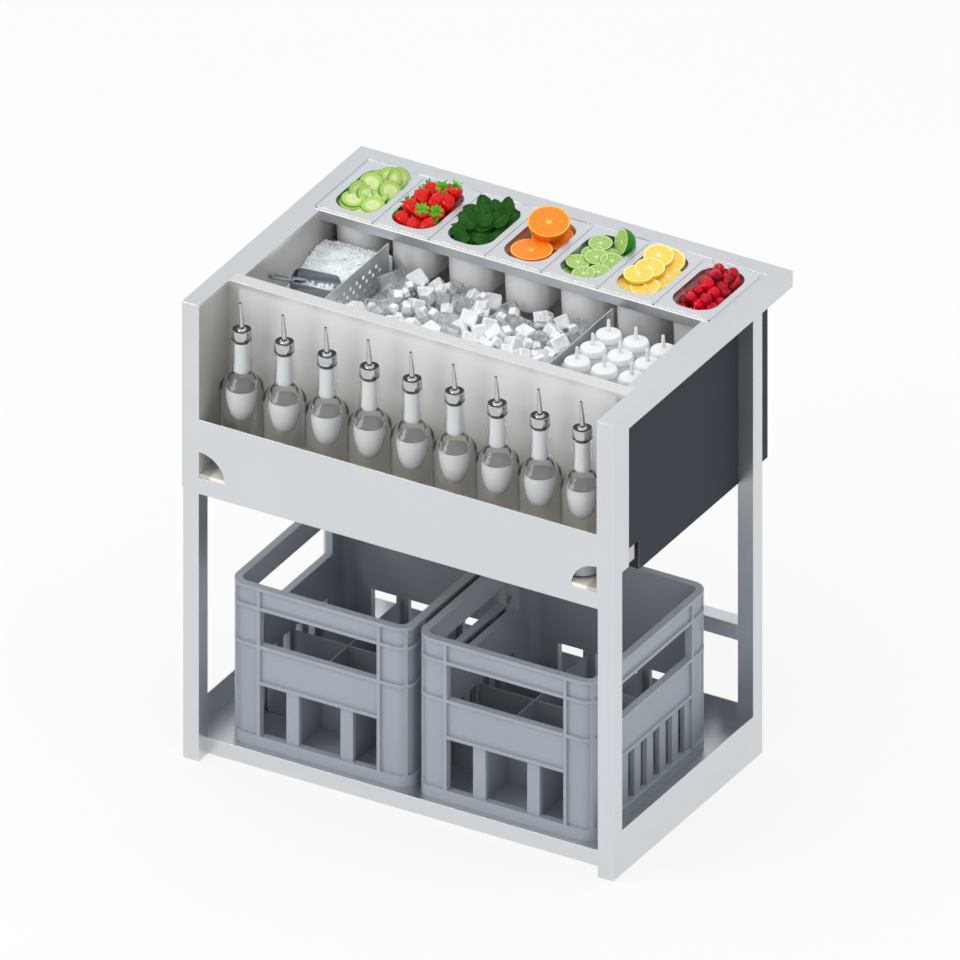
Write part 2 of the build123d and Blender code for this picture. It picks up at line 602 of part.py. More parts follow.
def speed_bottle():
    """Full bottle and the pour spout on its neck, about the bottle's own axis."""
    shoulder = BOTTLE_BODY + BOTTLE_SHOULDER
    lip = shoulder + BOTTLE_NECK
    side = Polyline((0, 0), (BOTTLE_BASE_RADIUS - BOTTLE_BASE_EDGE, 0), (BOTTLE_BASE_RADIUS, BOTTLE_BASE_EDGE),
                    (BOTTLE_RADIUS, BOTTLE_BODY))
    bend = Spline((BOTTLE_RADIUS, BOTTLE_BODY), (NECK_BASE_RADIUS, shoulder), tangents=((0, 1), (0, 1)))
    neck = Polyline((NECK_BASE_RADIUS, shoulder), (NECK_RADIUS, lip), (0, lip), (0, 0))
    glass = revolve(Plane.XZ * make_face(Curve() + [side, bend, neck]), Axis.Z)
    upright = (Align.CENTER, Align.CENTER, Align.MIN)
    collar = Pos(0, 0, lip) * Cylinder(COLLAR_RADIUS, COLLAR_HEIGHT, align=upright)
    tube = Cone(SPOUT_BASE_RADIUS, SPOUT_TIP_RADIUS, SPOUT_HEIGHT, align=upright)
    spout = collar + Pos(0, 0, lip + COLLAR_HEIGHT - SHEET) * Rot(0, SPOUT_LEAN, 0) * tube
    return Compound([glass, spout.solid()])


def squeeze_places():
    """Axes of the squeeze bottles, counted from the well's right wall."""
    first_x = WELL_X - SQUEEZE_WALL_GAP - SQUEEZE_RADIUS
    room = first_x - SQUEEZE_RADIUS - RIGHT_DIVIDER_X - SHEET
    columns = int(room // SQUEEZE_PITCH) + 1
    first_y = WELL_FRONT + SQUEEZE_FRONT_GAP
    room_back = DECK_FRONT - first_y - SQUEEZE_RADIUS
    rows = min(SQUEEZE_ROWS, int(room_back // SQUEEZE_PITCH) + 1)
    return [Pos(first_x - SQUEEZE_PITCH * column, first_y + SQUEEZE_PITCH * line, FALSE_FLOOR)
            for column in range(columns) for line in range(rows)]


def squeeze_bottles():
    """Plain round bottle bodies."""
    body = Cylinder(SQUEEZE_RADIUS, SQUEEZE_BODY, align=(Align.CENTER, Align.CENTER, Align.MIN))
    body = fillet(body.edges().filter_by(GeomType.CIRCLE), SQUEEZE_EDGE)
    return Compound([place * body for place in squeeze_places()])


def squeeze_caps():
    """Screw caps with a cone and a slim nozzle."""
    upright = (Align.CENTER, Align.CENTER, Align.MIN)
    cap = Cylinder(CAP_RADIUS, CAP_BAND, align=upright)
    shoulder = Cone(CAP_RADIUS, NOZZLE_BASE_RADIUS, CAP_CONE, align=upright)
    nozzle = Cone(NOZZLE_BASE_RADIUS, NOZZLE_TIP_RADIUS, NOZZLE_HEIGHT, align=upright)
    cap += Pos(0, 0, CAP_BAND) * shoulder
    cap += Pos(0, 0, CAP_BAND + CAP_CONE) * nozzle
    neck_flat = SQUEEZE_RADIUS - SQUEEZE_EDGE
    cap += Pos(0, 0, -SLIP) * Cylinder(neck_flat, SLIP, align=upright)
    return Compound([place * Pos(0, 0, SQUEEZE_BODY + SLIP) * cap for place in squeeze_places()])


def ice_cubes():
    """Bed of ice between the dividers with tumbled cubes set into its top."""
    left = LEFT_DIVIDER_X + SHEET / 2 + ICE_GAP + SHEET
    right = RIGHT_DIVIDER_X - SHEET / 2 - ICE_GAP - SHEET
    top = HEIGHT - ICE_DROP
    level_end = ICE_FRONT + ICE_LEVEL
    fall = (ICE_BACK_DROP - ICE_DROP) / (ICE_BACK - level_end)
    outline = Polyline((ICE_FRONT, FALSE_FLOOR), (ICE_BACK, FALSE_FLOOR), (ICE_BACK, HEIGHT - ICE_BACK_DROP),
                       (level_end, top), (ICE_FRONT, top), close=True)
    bed = Pos(left, 0, 0) * extrude(Plane.YZ * make_face(outline), right - left)
    inside = block(left, right, ICE_FRONT, DECK_FRONT - DIVIDER_END_GAP, FALSE_FLOOR, HEIGHT - DIVIDER_DROP)
    columns = row(int((right - left) // CUBE_PITCH), CUBE_PITCH)
    lines = row(int((DECK_FRONT - ICE_FRONT) // CUBE_PITCH), CUBE_PITCH)
    middle_y = (ICE_FRONT + DECK_FRONT) / 2
    cubes = []
    for column, x in enumerate(columns):
        for line, y in enumerate(lines):
            sunk = fall * max(0, middle_y + y - level_end)
            tumble = Rot(CUBE_TUMBLE * (column + 2 * line), CUBE_TUMBLE * (line + 1), CUBE_TUMBLE * column)
            place = Pos((left + right) / 2 + x, middle_y + y, top - sunk)
            cubes.append(place * tumble * Box(CUBE, CUBE, CUBE))
    return bed + [cube & inside for cube in cubes]


def crushed_ice():
    """Heap of crushed ice in the left bay, flat under the scoop and rising to the back."""
    left = -WELL_X + ICE_GAP
    right = LEFT_DIVIDER_X - SHEET / 2 - ICE_GAP - SHEET
    seat = HEIGHT - SCOOP_SEAT_DROP
    scoop_end = WELL_FRONT + SCOOP_FRONT_GAP + SCOOP_RADIUS + SCOOP_LENGTH / 4
    outline = Polyline((ICE_FRONT, FALSE_FLOOR), (ICE_BACK, FALSE_FLOOR), (ICE_BACK, HEIGHT - CRUSHED_LOW_DROP),
                       (DECK_FRONT - DIVIDER_END_GAP, HEIGHT - CRUSHED_LOW_DROP),
                       ((scoop_end + DECK_FRONT) / 2, HEIGHT - CRUSHED_HIGH_DROP),
                       (scoop_end, seat), (ICE_FRONT, seat), close=True)
    return Pos(left, 0, 0) * extrude(Plane.YZ * make_face(outline), right - left)


def ice_scoop():
    """Round-bottomed scoop of thin sheet with a short rod handle, lying on the crushed ice."""
    axis_z = HEIGHT - SCOOP_SEAT_DROP + SLIP + SCOOP_RADIUS
    along_x = Rot(0, 90, 0)
    bowl = along_x * Cylinder(SCOOP_RADIUS, SCOOP_LENGTH)
    hollow = Pos(SCOOP_SHEET, 0, 0) * along_x * Cylinder(SCOOP_RADIUS - SCOOP_SHEET, SCOOP_LENGTH)
    bowl -= hollow
    bowl -= Pos(0, 0, SCOOP_RADIUS / 2) * Box(2 * SCOOP_LENGTH, 2 * SCOOP_RADIUS, SCOOP_RADIUS)
    slope = Pos(SCOOP_LENGTH / 2, 0, 0) * Rot(0, SCOOP_LIP_SLOPE, 0) * Box(SCOOP_RADIUS, 2 * SCOOP_RADIUS, 4 * SCOOP_RADIUS)
    bowl -= Pos(SCOOP_RADIUS / 2, 0, 0) * slope
    start = -SCOOP_LENGTH / 2 + SCOOP_SHEET
    rod = Pos(start - SCOOP_HANDLE / 2, 0, -SCOOP_HANDLE_RADIUS) * along_x * Cylinder(SCOOP_HANDLE_RADIUS, SCOOP_HANDLE)
    place = Pos(-WELL_X + SCOOP_SIDE_GAP + SCOOP_LENGTH / 2, WELL_FRONT + SCOOP_FRONT_GAP, axis_z)
    return place * Rot(0, 0, SCOOP_TURN) * (bowl + rod)


def crate_section(inset):
    """Round-cornered crate outline, drawn in by an inset."""
    return RectangleRounded(CRATE_WIDTH - 2 * inset, CRATE_DEPTH - 2 * inset, CRATE_CORNER - inset)


def slab(inset, base, top):
    """Slice of the crate between two heights."""
    return Pos(0, 0, base) * extrude(crate_section(inset), top - base)


def crate_windows(width, base, top, centres, long_side):
    """Openings through two opposite walls."""
    reach = CRATE_WIDTH + CRATE_DEPTH
    cuts = []
    for centre in centres:
        place = Pos(centre, 0, (base + top) / 2) if long_side else Pos(0, centre, (base + top) / 2)
        size = (width, reach, top - base) if long_side else (reach, width, top - base)
        cuts.append(place * Box(*size))
    return cuts


def bottle_grid():
    """Thin plates that stand in the crate and keep bottles apart: long ones, and short ones between them."""
    height = CRATE_HEIGHT - GRID_DROP
    inner = CRATE_RIB + CRATE_WALL + GRID_GAP
    half_x = CRATE_WIDTH / 2 - inner
    half_y = CRATE_DEPTH / 2 - inner
    pitch_x = 2 * half_x / GRID_COLUMNS
    pitch_y = 2 * half_y / GRID_ROWS
    plates = []
    for x in row(GRID_COLUMNS - 1, pitch_x):
        plates.append(block(x - GRID_SHEET / 2, x + GRID_SHEET / 2, -half_y, half_y, CRATE_BASE, height))
    short = (pitch_x - GRID_SHEET) / 2 - GRID_GAP
    for x in row(GRID_COLUMNS, pitch_x):
        for y in row(GRID_ROWS - 1, pitch_y):
            plates.append(block(x - short, x + short, y - GRID_SHEET / 2, y + GRID_SHEET / 2, CRATE_BASE, height))
    return Compound(plates)


def crate():
    """Plastic bottle crate: ribbed walls, hand holes in its front and sides, and lower windows."""
    handle_top = CRATE_HEIGHT - CRATE_TOP_BAND
    handle_base = handle_top - CRATE_HANDLE
    window_top = handle_base - CRATE_MIDDLE_BAND
    panel_x = CRATE_WIDTH / 2 - CRATE_SIDE_POST
    panel_y = CRATE_DEPTH / 2 - CRATE_SIDE_POST
    body = slab(CRATE_RIB, 0, CRATE_HEIGHT) + slab(0, 0, CRATE_FOOT_BAND)
    for top in (CRATE_HEIGHT, handle_top + CRATE_RIB_WIDTH, handle_base):
        body += slab(0, top - CRATE_RIB_WIDTH, top)
    whole = slab(0, 0, CRATE_HEIGHT)
    panel_ribs = []
    reach = CRATE_WIDTH + CRATE_DEPTH
    for x in (-panel_x, panel_x):
        panel_ribs.append(block(x - CRATE_RIB_WIDTH / 2, x + CRATE_RIB_WIDTH / 2, -reach, reach, 0, CRATE_HEIGHT))
    for y in (-panel_y, panel_y):
        panel_ribs.append(block(-reach, reach, y - CRATE_RIB_WIDTH / 2, y + CRATE_RIB_WIDTH / 2, 0, CRATE_HEIGHT))
    panel_ribs.append(block(-panel_x, panel_x, -reach, reach, window_top, window_top + CRATE_RIB_WIDTH))
    panel_ribs.append(block(-reach, reach, -panel_y, panel_y, window_top, window_top + CRATE_RIB_WIDTH))
    centre_x = CRATE_WIDTH / 2 - CRATE_CORNER
    centre_y = CRATE_DEPTH / 2 - CRATE_CORNER
    for x in (-centre_x, centre_x):
        for y in (-centre_y, centre_y):
            slant = 45 if x * y > 0 else -45
            rib = Pos(x, y, CRATE_HEIGHT / 2) * Rot(0, 0, slant)
            panel_ribs.append(rib * Box(3 * CRATE_CORNER, CRATE_RIB_WIDTH, CRATE_HEIGHT))
    body += [rib & whole for rib in panel_ribs]
    body -= slab(CRATE_RIB + CRATE_WALL, CRATE_BASE, CRATE_HEIGHT)
    clear_x = 2 * panel_x - CRATE_RIB_WIDTH
    clear_y = 2 * panel_y - CRATE_RIB_WIDTH
    outer_shell = whole - slab(CRATE_RIB + CRATE_WALL, 0, CRATE_HEIGHT)
    cuts = [block(-clear_x / 2, clear_x / 2, -CRATE_DEPTH, 0, handle_base, handle_top)]
    cuts += crate_windows(clear_y, handle_base, handle_top, [0], False)
    side_window = (clear_x - CRATE_MIDDLE_WINDOW - 2 * CRATE_PILLAR) / 2
    offset = (clear_x - side_window) / 2
    cuts += crate_windows(CRATE_MIDDLE_WINDOW, CRATE_FOOT_BAND, window_top, [0], True)
    cuts += crate_windows(side_window, CRATE_FOOT_BAND, window_top, [-offset, offset], True)
    pitch = CRATE_SLOT + CRATE_SLAT
    slots = row(int((clear_y + CRATE_SLAT) // pitch), pitch)
    cuts += crate_windows(CRATE_SLOT, CRATE_FOOT_BAND, window_top, slots, False)
    return body - [cut & outer_shell for cut in cuts]


def build():
    """Every node by name."""
    nodes = frame()
    nodes["crate_shelf"] = crate_shelf()
    nodes["front_fascia"] = front_fascia() - rivet_bores()
    nodes["fascia_rivets"] = fascia_rivets()
    nodes["worktop"] = worktop()
    nodes["pan_ledge_frame"] = pan_ledge_frame()
    nodes["speed_rail_trough"] = speed_rail_trough()
    nodes["well_front_wall"] = well_front_wall()
    nodes["ice_well_liner"] = ice_well_liner()
    nodes["well_insulation"] = well_insulation()
    nodes["well_casing"] = well_casing()
    nodes.update(side_panels())
    nodes["false_floor"] = false_floor()
    nodes["drain_outlet"] = drain_outlet()
    nodes["left_divider"] = divider(LEFT_DIVIDER_X)
    nodes["right_divider"] = divider(RIGHT_DIVIDER_X)
    pan = garnish_pan()
    for index, x in enumerate(row(PAN_COUNT, PAN_PITCH)):
        nodes[f"garnish_pan_{index + 1}"] = Pos(x, PAN_Y, 0) * pan
        if index < len(GARNISHES):
            kind = GARNISHES[index]
            nodes[kind.__name__] = Pos(x, PAN_Y, 0) * garnish(kind)
    bottle = speed_bottle()
    for index, x in enumerate(row(BOTTLE_COUNT, BOTTLE_PITCH)):
        nodes[f"speed_bottle_{index + 1}"] = Pos(x, BOTTLE_Y, TROUGH_FLOOR) * bottle
    nodes["squeeze_bottles"] = squeeze_bottles()
    nodes["squeeze_caps"] = squeeze_caps()
    nodes["ice_cubes"] = ice_cubes()
    nodes["crushed_ice"] = crushed_ice()
    nodes["ice_scoop"] = ice_scoop()
    box = crate()
    grid = bottle_grid()
    for index, x in enumerate(row(CRATE_COUNT, CRATE_WIDTH + CRATE_GAP)):
        place = Pos(x, CRATE_FRONT + CRATE_DEPTH / 2, SHELF_TOP)
        nodes[f"bottle_crate_{index + 1}"] = place * box
        nodes[f"crate_grid_{index + 1}"] = place * grid
    return nodes


os.makedirs("parts", exist_ok=True)
for node_name, shape in build().items():
    export_step(Pos(0, -DEPTH / 2, 0) * shape, f"parts/{node_name}.step")
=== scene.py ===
"""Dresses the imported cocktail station: finishes, bottles, ice, scoop and the fillings of its pans.

Metres, +Z up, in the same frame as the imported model.
"""

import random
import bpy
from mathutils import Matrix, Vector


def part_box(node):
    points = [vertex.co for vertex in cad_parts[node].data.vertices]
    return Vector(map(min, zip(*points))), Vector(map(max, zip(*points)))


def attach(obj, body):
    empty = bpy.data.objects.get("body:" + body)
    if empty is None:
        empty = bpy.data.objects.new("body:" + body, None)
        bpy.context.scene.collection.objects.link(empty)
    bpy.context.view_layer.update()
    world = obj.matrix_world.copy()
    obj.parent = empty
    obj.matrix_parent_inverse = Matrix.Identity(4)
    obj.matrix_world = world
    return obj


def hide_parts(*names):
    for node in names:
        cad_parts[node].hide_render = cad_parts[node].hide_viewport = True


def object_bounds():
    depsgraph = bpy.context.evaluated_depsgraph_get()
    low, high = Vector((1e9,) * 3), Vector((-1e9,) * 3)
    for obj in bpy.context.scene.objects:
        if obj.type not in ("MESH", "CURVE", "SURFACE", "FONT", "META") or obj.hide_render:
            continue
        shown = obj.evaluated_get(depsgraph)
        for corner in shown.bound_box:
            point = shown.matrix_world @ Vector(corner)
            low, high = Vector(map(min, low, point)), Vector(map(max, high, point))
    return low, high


bl_info = {
    "name": "Cocktail station",
    "version": (1, 0, 0),
    "blender": (4, 5, 0),
    "location": "View3D > Sidebar > Station",
    "description": "Dresses the packed cocktail station with finishes, bottles, ice and fillings",
    "category": "Object",
}

from functools import cache
from math import copysign, cos, pi, radians, sin

import bmesh
import bpy
from mathutils import Euler, Matrix, Vector, noise

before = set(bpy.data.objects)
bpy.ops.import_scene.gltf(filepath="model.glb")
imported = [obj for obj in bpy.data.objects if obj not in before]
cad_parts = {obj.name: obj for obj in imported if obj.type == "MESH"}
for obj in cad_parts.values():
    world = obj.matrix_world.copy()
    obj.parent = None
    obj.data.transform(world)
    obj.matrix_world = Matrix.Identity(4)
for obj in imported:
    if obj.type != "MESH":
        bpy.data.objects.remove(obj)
CAD_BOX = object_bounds()
MM = 0.001
PANS = range(1, 8)
BOTTLES = range(1, 10)
# Edges that turn by more than this, in degrees, count as sharp.
SHARP = 40


def linear(red, green, blue):
    """A colour given as it looks on a screen, 0 to 255, as the light values that Blender works in."""
    channels = [value / 255 for value in (red, green, blue)]
    return tuple(c / 12.92 if c <= 0.04045 else ((c + 0.055) / 1.055) ** 2.4 for c in channels)


def shaded(colour, share):
    """A colour made darker, or brighter as far as white."""
    return [min(1.0, channel * share) for channel in colour]


def paled(colour, share):
    """A colour moved towards white."""
    return [channel + (1 - channel) * share for channel in colour]


def size(label, text, millimetres):
    """A length that a user may change."""
    return bpy.props.FloatProperty(name=label, description=text, default=millimetres * MM, min=0.0,
                                   precision=4, subtype="DISTANCE", unit="LENGTH")


def tint(label, text, *rgb):
    """A colour that a user may change."""
    return bpy.props.FloatVectorProperty(name=label, description=text, default=linear(*rgb), min=0.0,
                                         max=1.0, subtype="COLOR", size=3)


class StationSizes(bpy.types.PropertyGroup):
    """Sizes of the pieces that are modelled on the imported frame."""
    fold: size("Fold", "Radius of the sheet's folds and cut edges as they catch the light", 1.1)
    glass: size("Glass", "Thickness of the speed bottles' glass", 2.6)
    drink: size("Drink level", "Height of the drink above the bottle's base", 162)
    cube: size("Ice cube", "Edge of an ice cube", 31)
    dish: size("Cube dish", "Depth of the hollow in each face of a cube", 2.2)
    chip: size("Ice chip", "Size of a chip of crushed ice", 4.2)
    cucumber: size("Cucumber", "Radius of a cucumber slice", 21)
    strawberry: size("Strawberry", "Length of a strawberry", 33)
    mint: size("Mint leaf", "Length of a mint leaf", 40)
    orange: size("Orange", "Radius of an orange", 36)
    lime: size("Lime", "Radius of a lime slice", 21)
    lemon: size("Lemon", "Radius of a lemon slice", 26)
    cherry: size("Cherry", "Radius of a cherry", 11.5)


class StationColours(bpy.types.PropertyGroup):
    """Colours of the finishes."""
    steel: tint("Steel", "Satin stainless of the sheets and tubes", 216, 219, 222)
    # Brighter than the outer steel as painted light against the shade in the well.
    inner: tint("Inner steel", "Stainless inside the well and the speed rail", 228, 229, 229)
    # Brighter than the outer steel as painted light against the shade in the well.
    pans: tint("Pan steel", "Brighter stainless of the garnish pans", 222, 225, 228)
    # Painted warm reflection low down in the well and the speed rail.
    painted_warm_reflection: tint("Warm steel", "Cast low down in the well and the speed rail", 244, 236, 222)
    slate: tint("Slate", "Coated side panels and casing", 36, 46, 54)
    crates: tint("Crates", "Moulded plastic of the crates", 152, 159, 168)
    foam: tint("Foam", "Insulation round the well", 226, 214, 176)
    plugs: tint("Plugs", "Plastic plugs in the feet", 44, 46, 48)
    squeeze: tint("Squeeze bottles", "Milky plastic of the squeeze bottles", 229, 232, 234)
    cucumber: tint("Cucumber", "Flesh of the cucumber slices", 172, 202, 98)
    rind: tint("Cucumber rind", "Skin of the cucumber slices", 74, 142, 34)
    strawberry: tint("Strawberry", "Flesh of the strawberries", 214, 2, 10)
    calyx: tint("Calyx", "Leaves on the strawberries", 84, 190, 42)
    mint: tint("Mint", "Upper side of the mint leaves", 27, 80, 15)
    orange: tint("Orange", "Flesh of the oranges", 250, 132, 0)
    orange_peel: tint("Orange peel", "Skin of the oranges", 238, 116, 8)
    lime: tint("Lime", "Flesh of the limes", 150, 186, 84)
    lime_peel: tint("Lime peel", "Skin of the limes", 40, 132, 30)
    lemon: tint("Lemon", "Flesh of the lemons", 246, 202, 58)
    lemon_peel: tint("Lemon peel", "Skin of the lemons", 246, 206, 26)
    cherry: tint("Cherry", "Skin of the cherries", 196, 0, 38)
    stem: tint("Stem", "Stems of the cherries", 158, 132, 84)


def sizes():
    """The sizes as they are set in the scene."""
    return bpy.context.scene.station_sizes


def colours():
    """The colours as they are set in the scene."""
    return bpy.context.scene.station_colours


class Value:
    """A socket that can be used in arithmetic; every step adds its Math node."""

    def __init__(self, nodes, socket):
        self.nodes = nodes
        self.socket = socket

    def step(self, operation, first, second):
        return self.nodes.node("ShaderNodeMath", {"operation": operation}, {0: first, 1: second})

    def __add__(self, other):
        return self.step("ADD", self, other)

    def __radd__(self, other):
        return self.step("ADD", other, self)

    def __sub__(self, other):
        return self.step("SUBTRACT", self, other)

    def __rsub__(self, other):
        return self.step("SUBTRACT", other, self)

    def __mul__(self, other):
        return self.step("MULTIPLY", self, other)

    def __rmul__(self, other):
        return self.step("MULTIPLY", other, self)


class Nodes:
    """A node tree under construction."""

    def __init__(self, tree):
        self.tree = tree

    def feed(self, socket, value):
        """Sets a socket to a value or links it to one."""
        if isinstance(value, Value):
            self.tree.links.new(value.socket, socket)
        elif socket.type == "RGBA" and len(value) == 3:
            socket.default_value = (*value, 1.0)
        else:
            socket.default_value = value

    def node(self, kind, settings=None, sockets=None, output=0):
        """Adds a node of any type, with its settings first and then its sockets."""
        node = self.tree.nodes.new(kind)
        for key, value in (settings or {}).items():
            setattr(node, key, value)
        for key, value in (sockets or {}).items():
            self.feed(node.inputs[key], value)
        return Value(self, node.outputs[output])

    def place(self):
        """Object coordinates."""
        return self.node("ShaderNodeTexCoord", output="Object")

    def local(self):
        """The place on one slice, leaf or berry, kept when it was modelled."""
        return self.node("ShaderNodeAttribute", {"attribute_name": "local"}, output="Vector")

    def split(self, vector):
        """A vector's three numbers."""
        parts = self.tree.nodes.new("ShaderNodeSeparateXYZ")
        self.feed(parts.inputs[0], vector)
        return [Value(self, socket) for socket in parts.outputs]

    def stretched(self, vector, scale):
        """Coordinates scaled along each axis."""
        return self.node("ShaderNodeMapping", {"vector_type": "POINT"}, {"Vector": vector, "Scale": scale})

    def noise(self, vector, scale, detail=3.0, roughness=0.55):
        """Soft noise, 0 to 1."""
        return self.node("ShaderNodeTexNoise", None,
                         {"Vector": vector, "Scale": scale, "Detail": detail, "Roughness": roughness})

    def cells(self, vector, scale):
        """Distance to scattered points."""
        return self.node("ShaderNodeTexVoronoi", {"feature": "F1"}, {"Vector": vector, "Scale": scale})

    def fade(self, value, start, end, low=0.0, high=1.0):
        """A soft step from low to high between two values."""
        return self.node("ShaderNodeMapRange", {"interpolation_type": "SMOOTHSTEP"},
                         {0: value, 1: start, 2: end, 3: low, 4: high})

    def blend(self, mask, first, second):
        """One colour to another by a mask."""
        return self.node("ShaderNodeMix", {"data_type": "RGBA"}, {0: mask, 6: first, 7: second}, output=2)

    def varied(self, mask, colour, low, high):
        """One colour from a darker to a brighter share of itself by a mask."""
        return self.blend(mask, shaded(colour, low), shaded(colour, high))

    def call(self, operation, first, second=0.0):
        """A Math node that is not an operator in Python."""
        return self.node("ShaderNodeMath", {"operation": operation}, {0: first, 1: second})

    def largest(self, first, *others):
        """The largest of several numbers."""
        for other in others:
            first = self.call("MAXIMUM", first, other)
        return first

    def zigzag(self, value):
        """Falls from 1 to 0 and rises again within each whole number."""
        return self.call("ABSOLUTE", self.call("FRACT", value) - 0.5) * 2.0

    def polar(self, x, y):
        """Distance from the middle and the turn about it."""
        return self.call("SQRT", x * x + y * y), self.call("ARCTAN2", y, x)


class Finish(Nodes):
    """A material with its main shader."""

    def __init__(self, name, **settings):
        self.material = bpy.data.materials.new(name)
        self.material.use_nodes = True
        super().__init__(self.material.node_tree)
        self.skin = self.tree.nodes["Principled BSDF"]
        for key, value in settings.items():
            self.wear(key.replace("_", " ").title().replace("Ior", "IOR"), value)

    def wear(self, socket, value):
        """Feeds one of the shader's sockets."""
        self.feed(self.skin.inputs[socket], value)

    def rounded(self):
        """Normals rounded over folds and edges, and a mask that is 1 on them."""
        soft = self.node("ShaderNodeBevel", {"samples": 4}, {"Radius": sizes().fold})
        flat = self.node("ShaderNodeNewGeometry", output="Normal")
        facing = self.node("ShaderNodeVectorMath", {"operation": "DOT_PRODUCT"}, {0: soft, 1: flat},
                           output="Value")
        return soft, self.fade(1 - facing, 0.02, 0.18)

    def bumped(self, height, strength, distance=0.001, over=None):
        """Raises the surface by a height."""
        sockets = {"Height": height, "Strength": strength, "Distance": distance}
        if over is not None:
            sockets["Normal"] = over
        self.wear("Normal", self.node("ShaderNodeBump", None, sockets))

    def worn(self, colour, roughness):
        """The material, with the two values that every finish has."""
        self.wear("Base Color", colour)
        self.wear("Roughness", roughness)
        return self.material


ALONG_X = (6, 700, 700)
ALONG_Z = (700, 700, 6)
EVEN = (160, 160, 160)
# Heights in metres over which steel changes from what lies deep down to what the light reaches, for its metal
# and for the painted light, painted reflection and painted shade in the well.
RIM_FADE = (0.870, 0.884)
END_RIM_FADE = (0.872, 0.884)
WELL_FADE = (0.58, 0.78)
PAINTED_REFLECTION_FADE = (0.60, 0.82)
# Distance from the middle, in metres, over which the walls turn into their end plates, which get painted
# shade.
END_PLATES = (0.362, 0.370)
# Painted shade on the end plates of the well and the speed rail.
END_PLATE_PAINTED_SHADE = linear(176, 174, 169)
# Painted light on the pans' walls below their rims, against the shade in the well.
PAINTED_LIGHT_BELOW_RIM = (0.94, 0.945, 0.95)
# Painted highlight on folds and cut edges.
PAINTED_FOLD_HIGHLIGHT = (0.95, 0.955, 0.96)


def steel(name, colour, grain, roughness=0.27, painted_warm_reflection=None, deep=None):
    """Satin stainless: fine grain along one direction, faint clouds, a painted highlight on the folds and
    softer metal deep down; in the well it can also carry a painted warm reflection, painted shade on the end
    plates and painted light below the pans' rims.
    """
    finish = Finish(name, metallic=1.0)
    place = finish.place()
    across, _, height = finish.split(place)
    if deep is not None:
        shine = finish.fade(height, *RIM_FADE, deep, 1.0)
        finish.wear("Metallic", shine * finish.fade(height, *WELL_FADE, 0.1, 1.0))
    streak = finish.noise(finish.stretched(place, grain), 1.0, 4.0, 0.7)
    cloud = finish.noise(place, 5.0, 3.0)
    soft, edge = finish.rounded()
    body = finish.varied(streak * 0.5 + cloud * 0.5, colour, 0.9, 1.07)
    if painted_warm_reflection is not None:
        # Painted warm reflection: the steel turns warm beige low down.
        body = finish.blend(finish.fade(height, *PAINTED_REFLECTION_FADE, 0.9, 0.0), body, painted_warm_reflection)
        # Painted shade on the end plates below the rim.
        end_plate_shade = finish.fade(finish.call("ABSOLUTE", across), *END_PLATES)
        below = finish.fade(height, *END_RIM_FADE, 0.85, 0.0)
        body = finish.blend(end_plate_shade * below, body, END_PLATE_PAINTED_SHADE)
    elif deep is not None:
        # Painted light: the walls below the rim are paled.
        body = finish.blend(finish.fade(height, *RIM_FADE, 0.9, 0.0), body, PAINTED_LIGHT_BELOW_RIM)
    finish.bumped(streak, 0.06, 0.0004, soft)
    # Painted highlight blended onto the folds.
    return finish.worn(finish.blend(edge * 0.5, body, PAINTED_FOLD_HIGHLIGHT),
                       roughness + streak * 0.12 + cloud * 0.08 - edge * 0.08)


@cache
def sheet_steel():
    return steel("satin_sheet_steel", colours().steel, ALONG_X)


@cache
def tube_steel():
    return steel("satin_tube_steel", colours().steel, ALONG_Z)


@cache
def inner_steel():
    # Brighter than the outer steel as painted light against the shade in the well, with a painted warm
    # reflection low down.
    return steel("inner_sheet_steel", colours().inner, ALONG_X, 0.34, colours().painted_warm_reflection, 0.35)


@cache
def pan_steel():
    # Brighter than the outer steel, and paler below the rim, as painted light against the shade in the well.
    return steel("pressed_pan_steel", colours().pans, EVEN, 0.24, deep=0.08)


@cache
def bead_steel():
    # Brighter than the sheet steel as a painted highlight along the deck's rolled edge.
    return steel("bright_bead_steel", linear(236, 234, 230), ALONG_X, 0.4)


@cache
def scoop_steel():
    return steel("scoop_steel", linear(150, 154, 160), ALONG_X, 0.2)


def clouded(name, scale, dark, light, roughness, spread, **settings):
    """A plain finish with soft clouds in its colour and its gloss."""
    finish = Finish(name, **settings)
    cloud = finish.noise(finish.place(), scale)
    return finish.worn(finish.blend(cloud, dark, light), roughness + cloud * spread)


@cache
def chrome():
    return clouded("pour_spout_chrome", 90.0, linear(172, 174, 177), linear(206, 208, 210), 0.1, 0.1,
                   metallic=1.0)


@cache
# Black rubber of the seal and the spout's tip, and the painted dark reflection at the foot of the collar's
# band.
def black_rubber_and_dark_reflection():
    return clouded("pour_spout_seal", 300.0, linear(16, 16, 18), linear(34, 34, 36), 0.45, 0.2)


@cache
def cherry_stem():
    wood = colours().stem
    return clouded("cherry_stem", 160.0, shaded(wood, 0.6), shaded(wood, 1.4), 0.45, 0.2)


def coated(name, colour, roughness, grain, depth, shine=0.5):
    """Painted or moulded surface with a fine texture and a painted highlight on its edges."""
    finish = Finish(name, specular_ior_level=shine)
    place = finish.place()
    grit = finish.noise(place, grain, 4.0, 0.6)
    soft, edge = finish.rounded()
    body = finish.varied(finish.noise(place, 7.0, 3.0), colour, 0.93, 1.07)
    finish.bumped(grit, 0.25, depth, soft)
    # Painted highlight: the edges are paled.
    return finish.worn(finish.blend(edge * 0.85, body, paled(colour, 0.45)), roughness + (grit - 0.5) * 0.2)


@cache
def slate_coat():
    return coated("slate_coat", colours().slate, 0.62, 1400.0, 0.0002, 0.25)


@cache
def crate_plastic():
    return coated("moulded_crate_plastic", colours().crates, 0.42, 900.0, 0.0002)


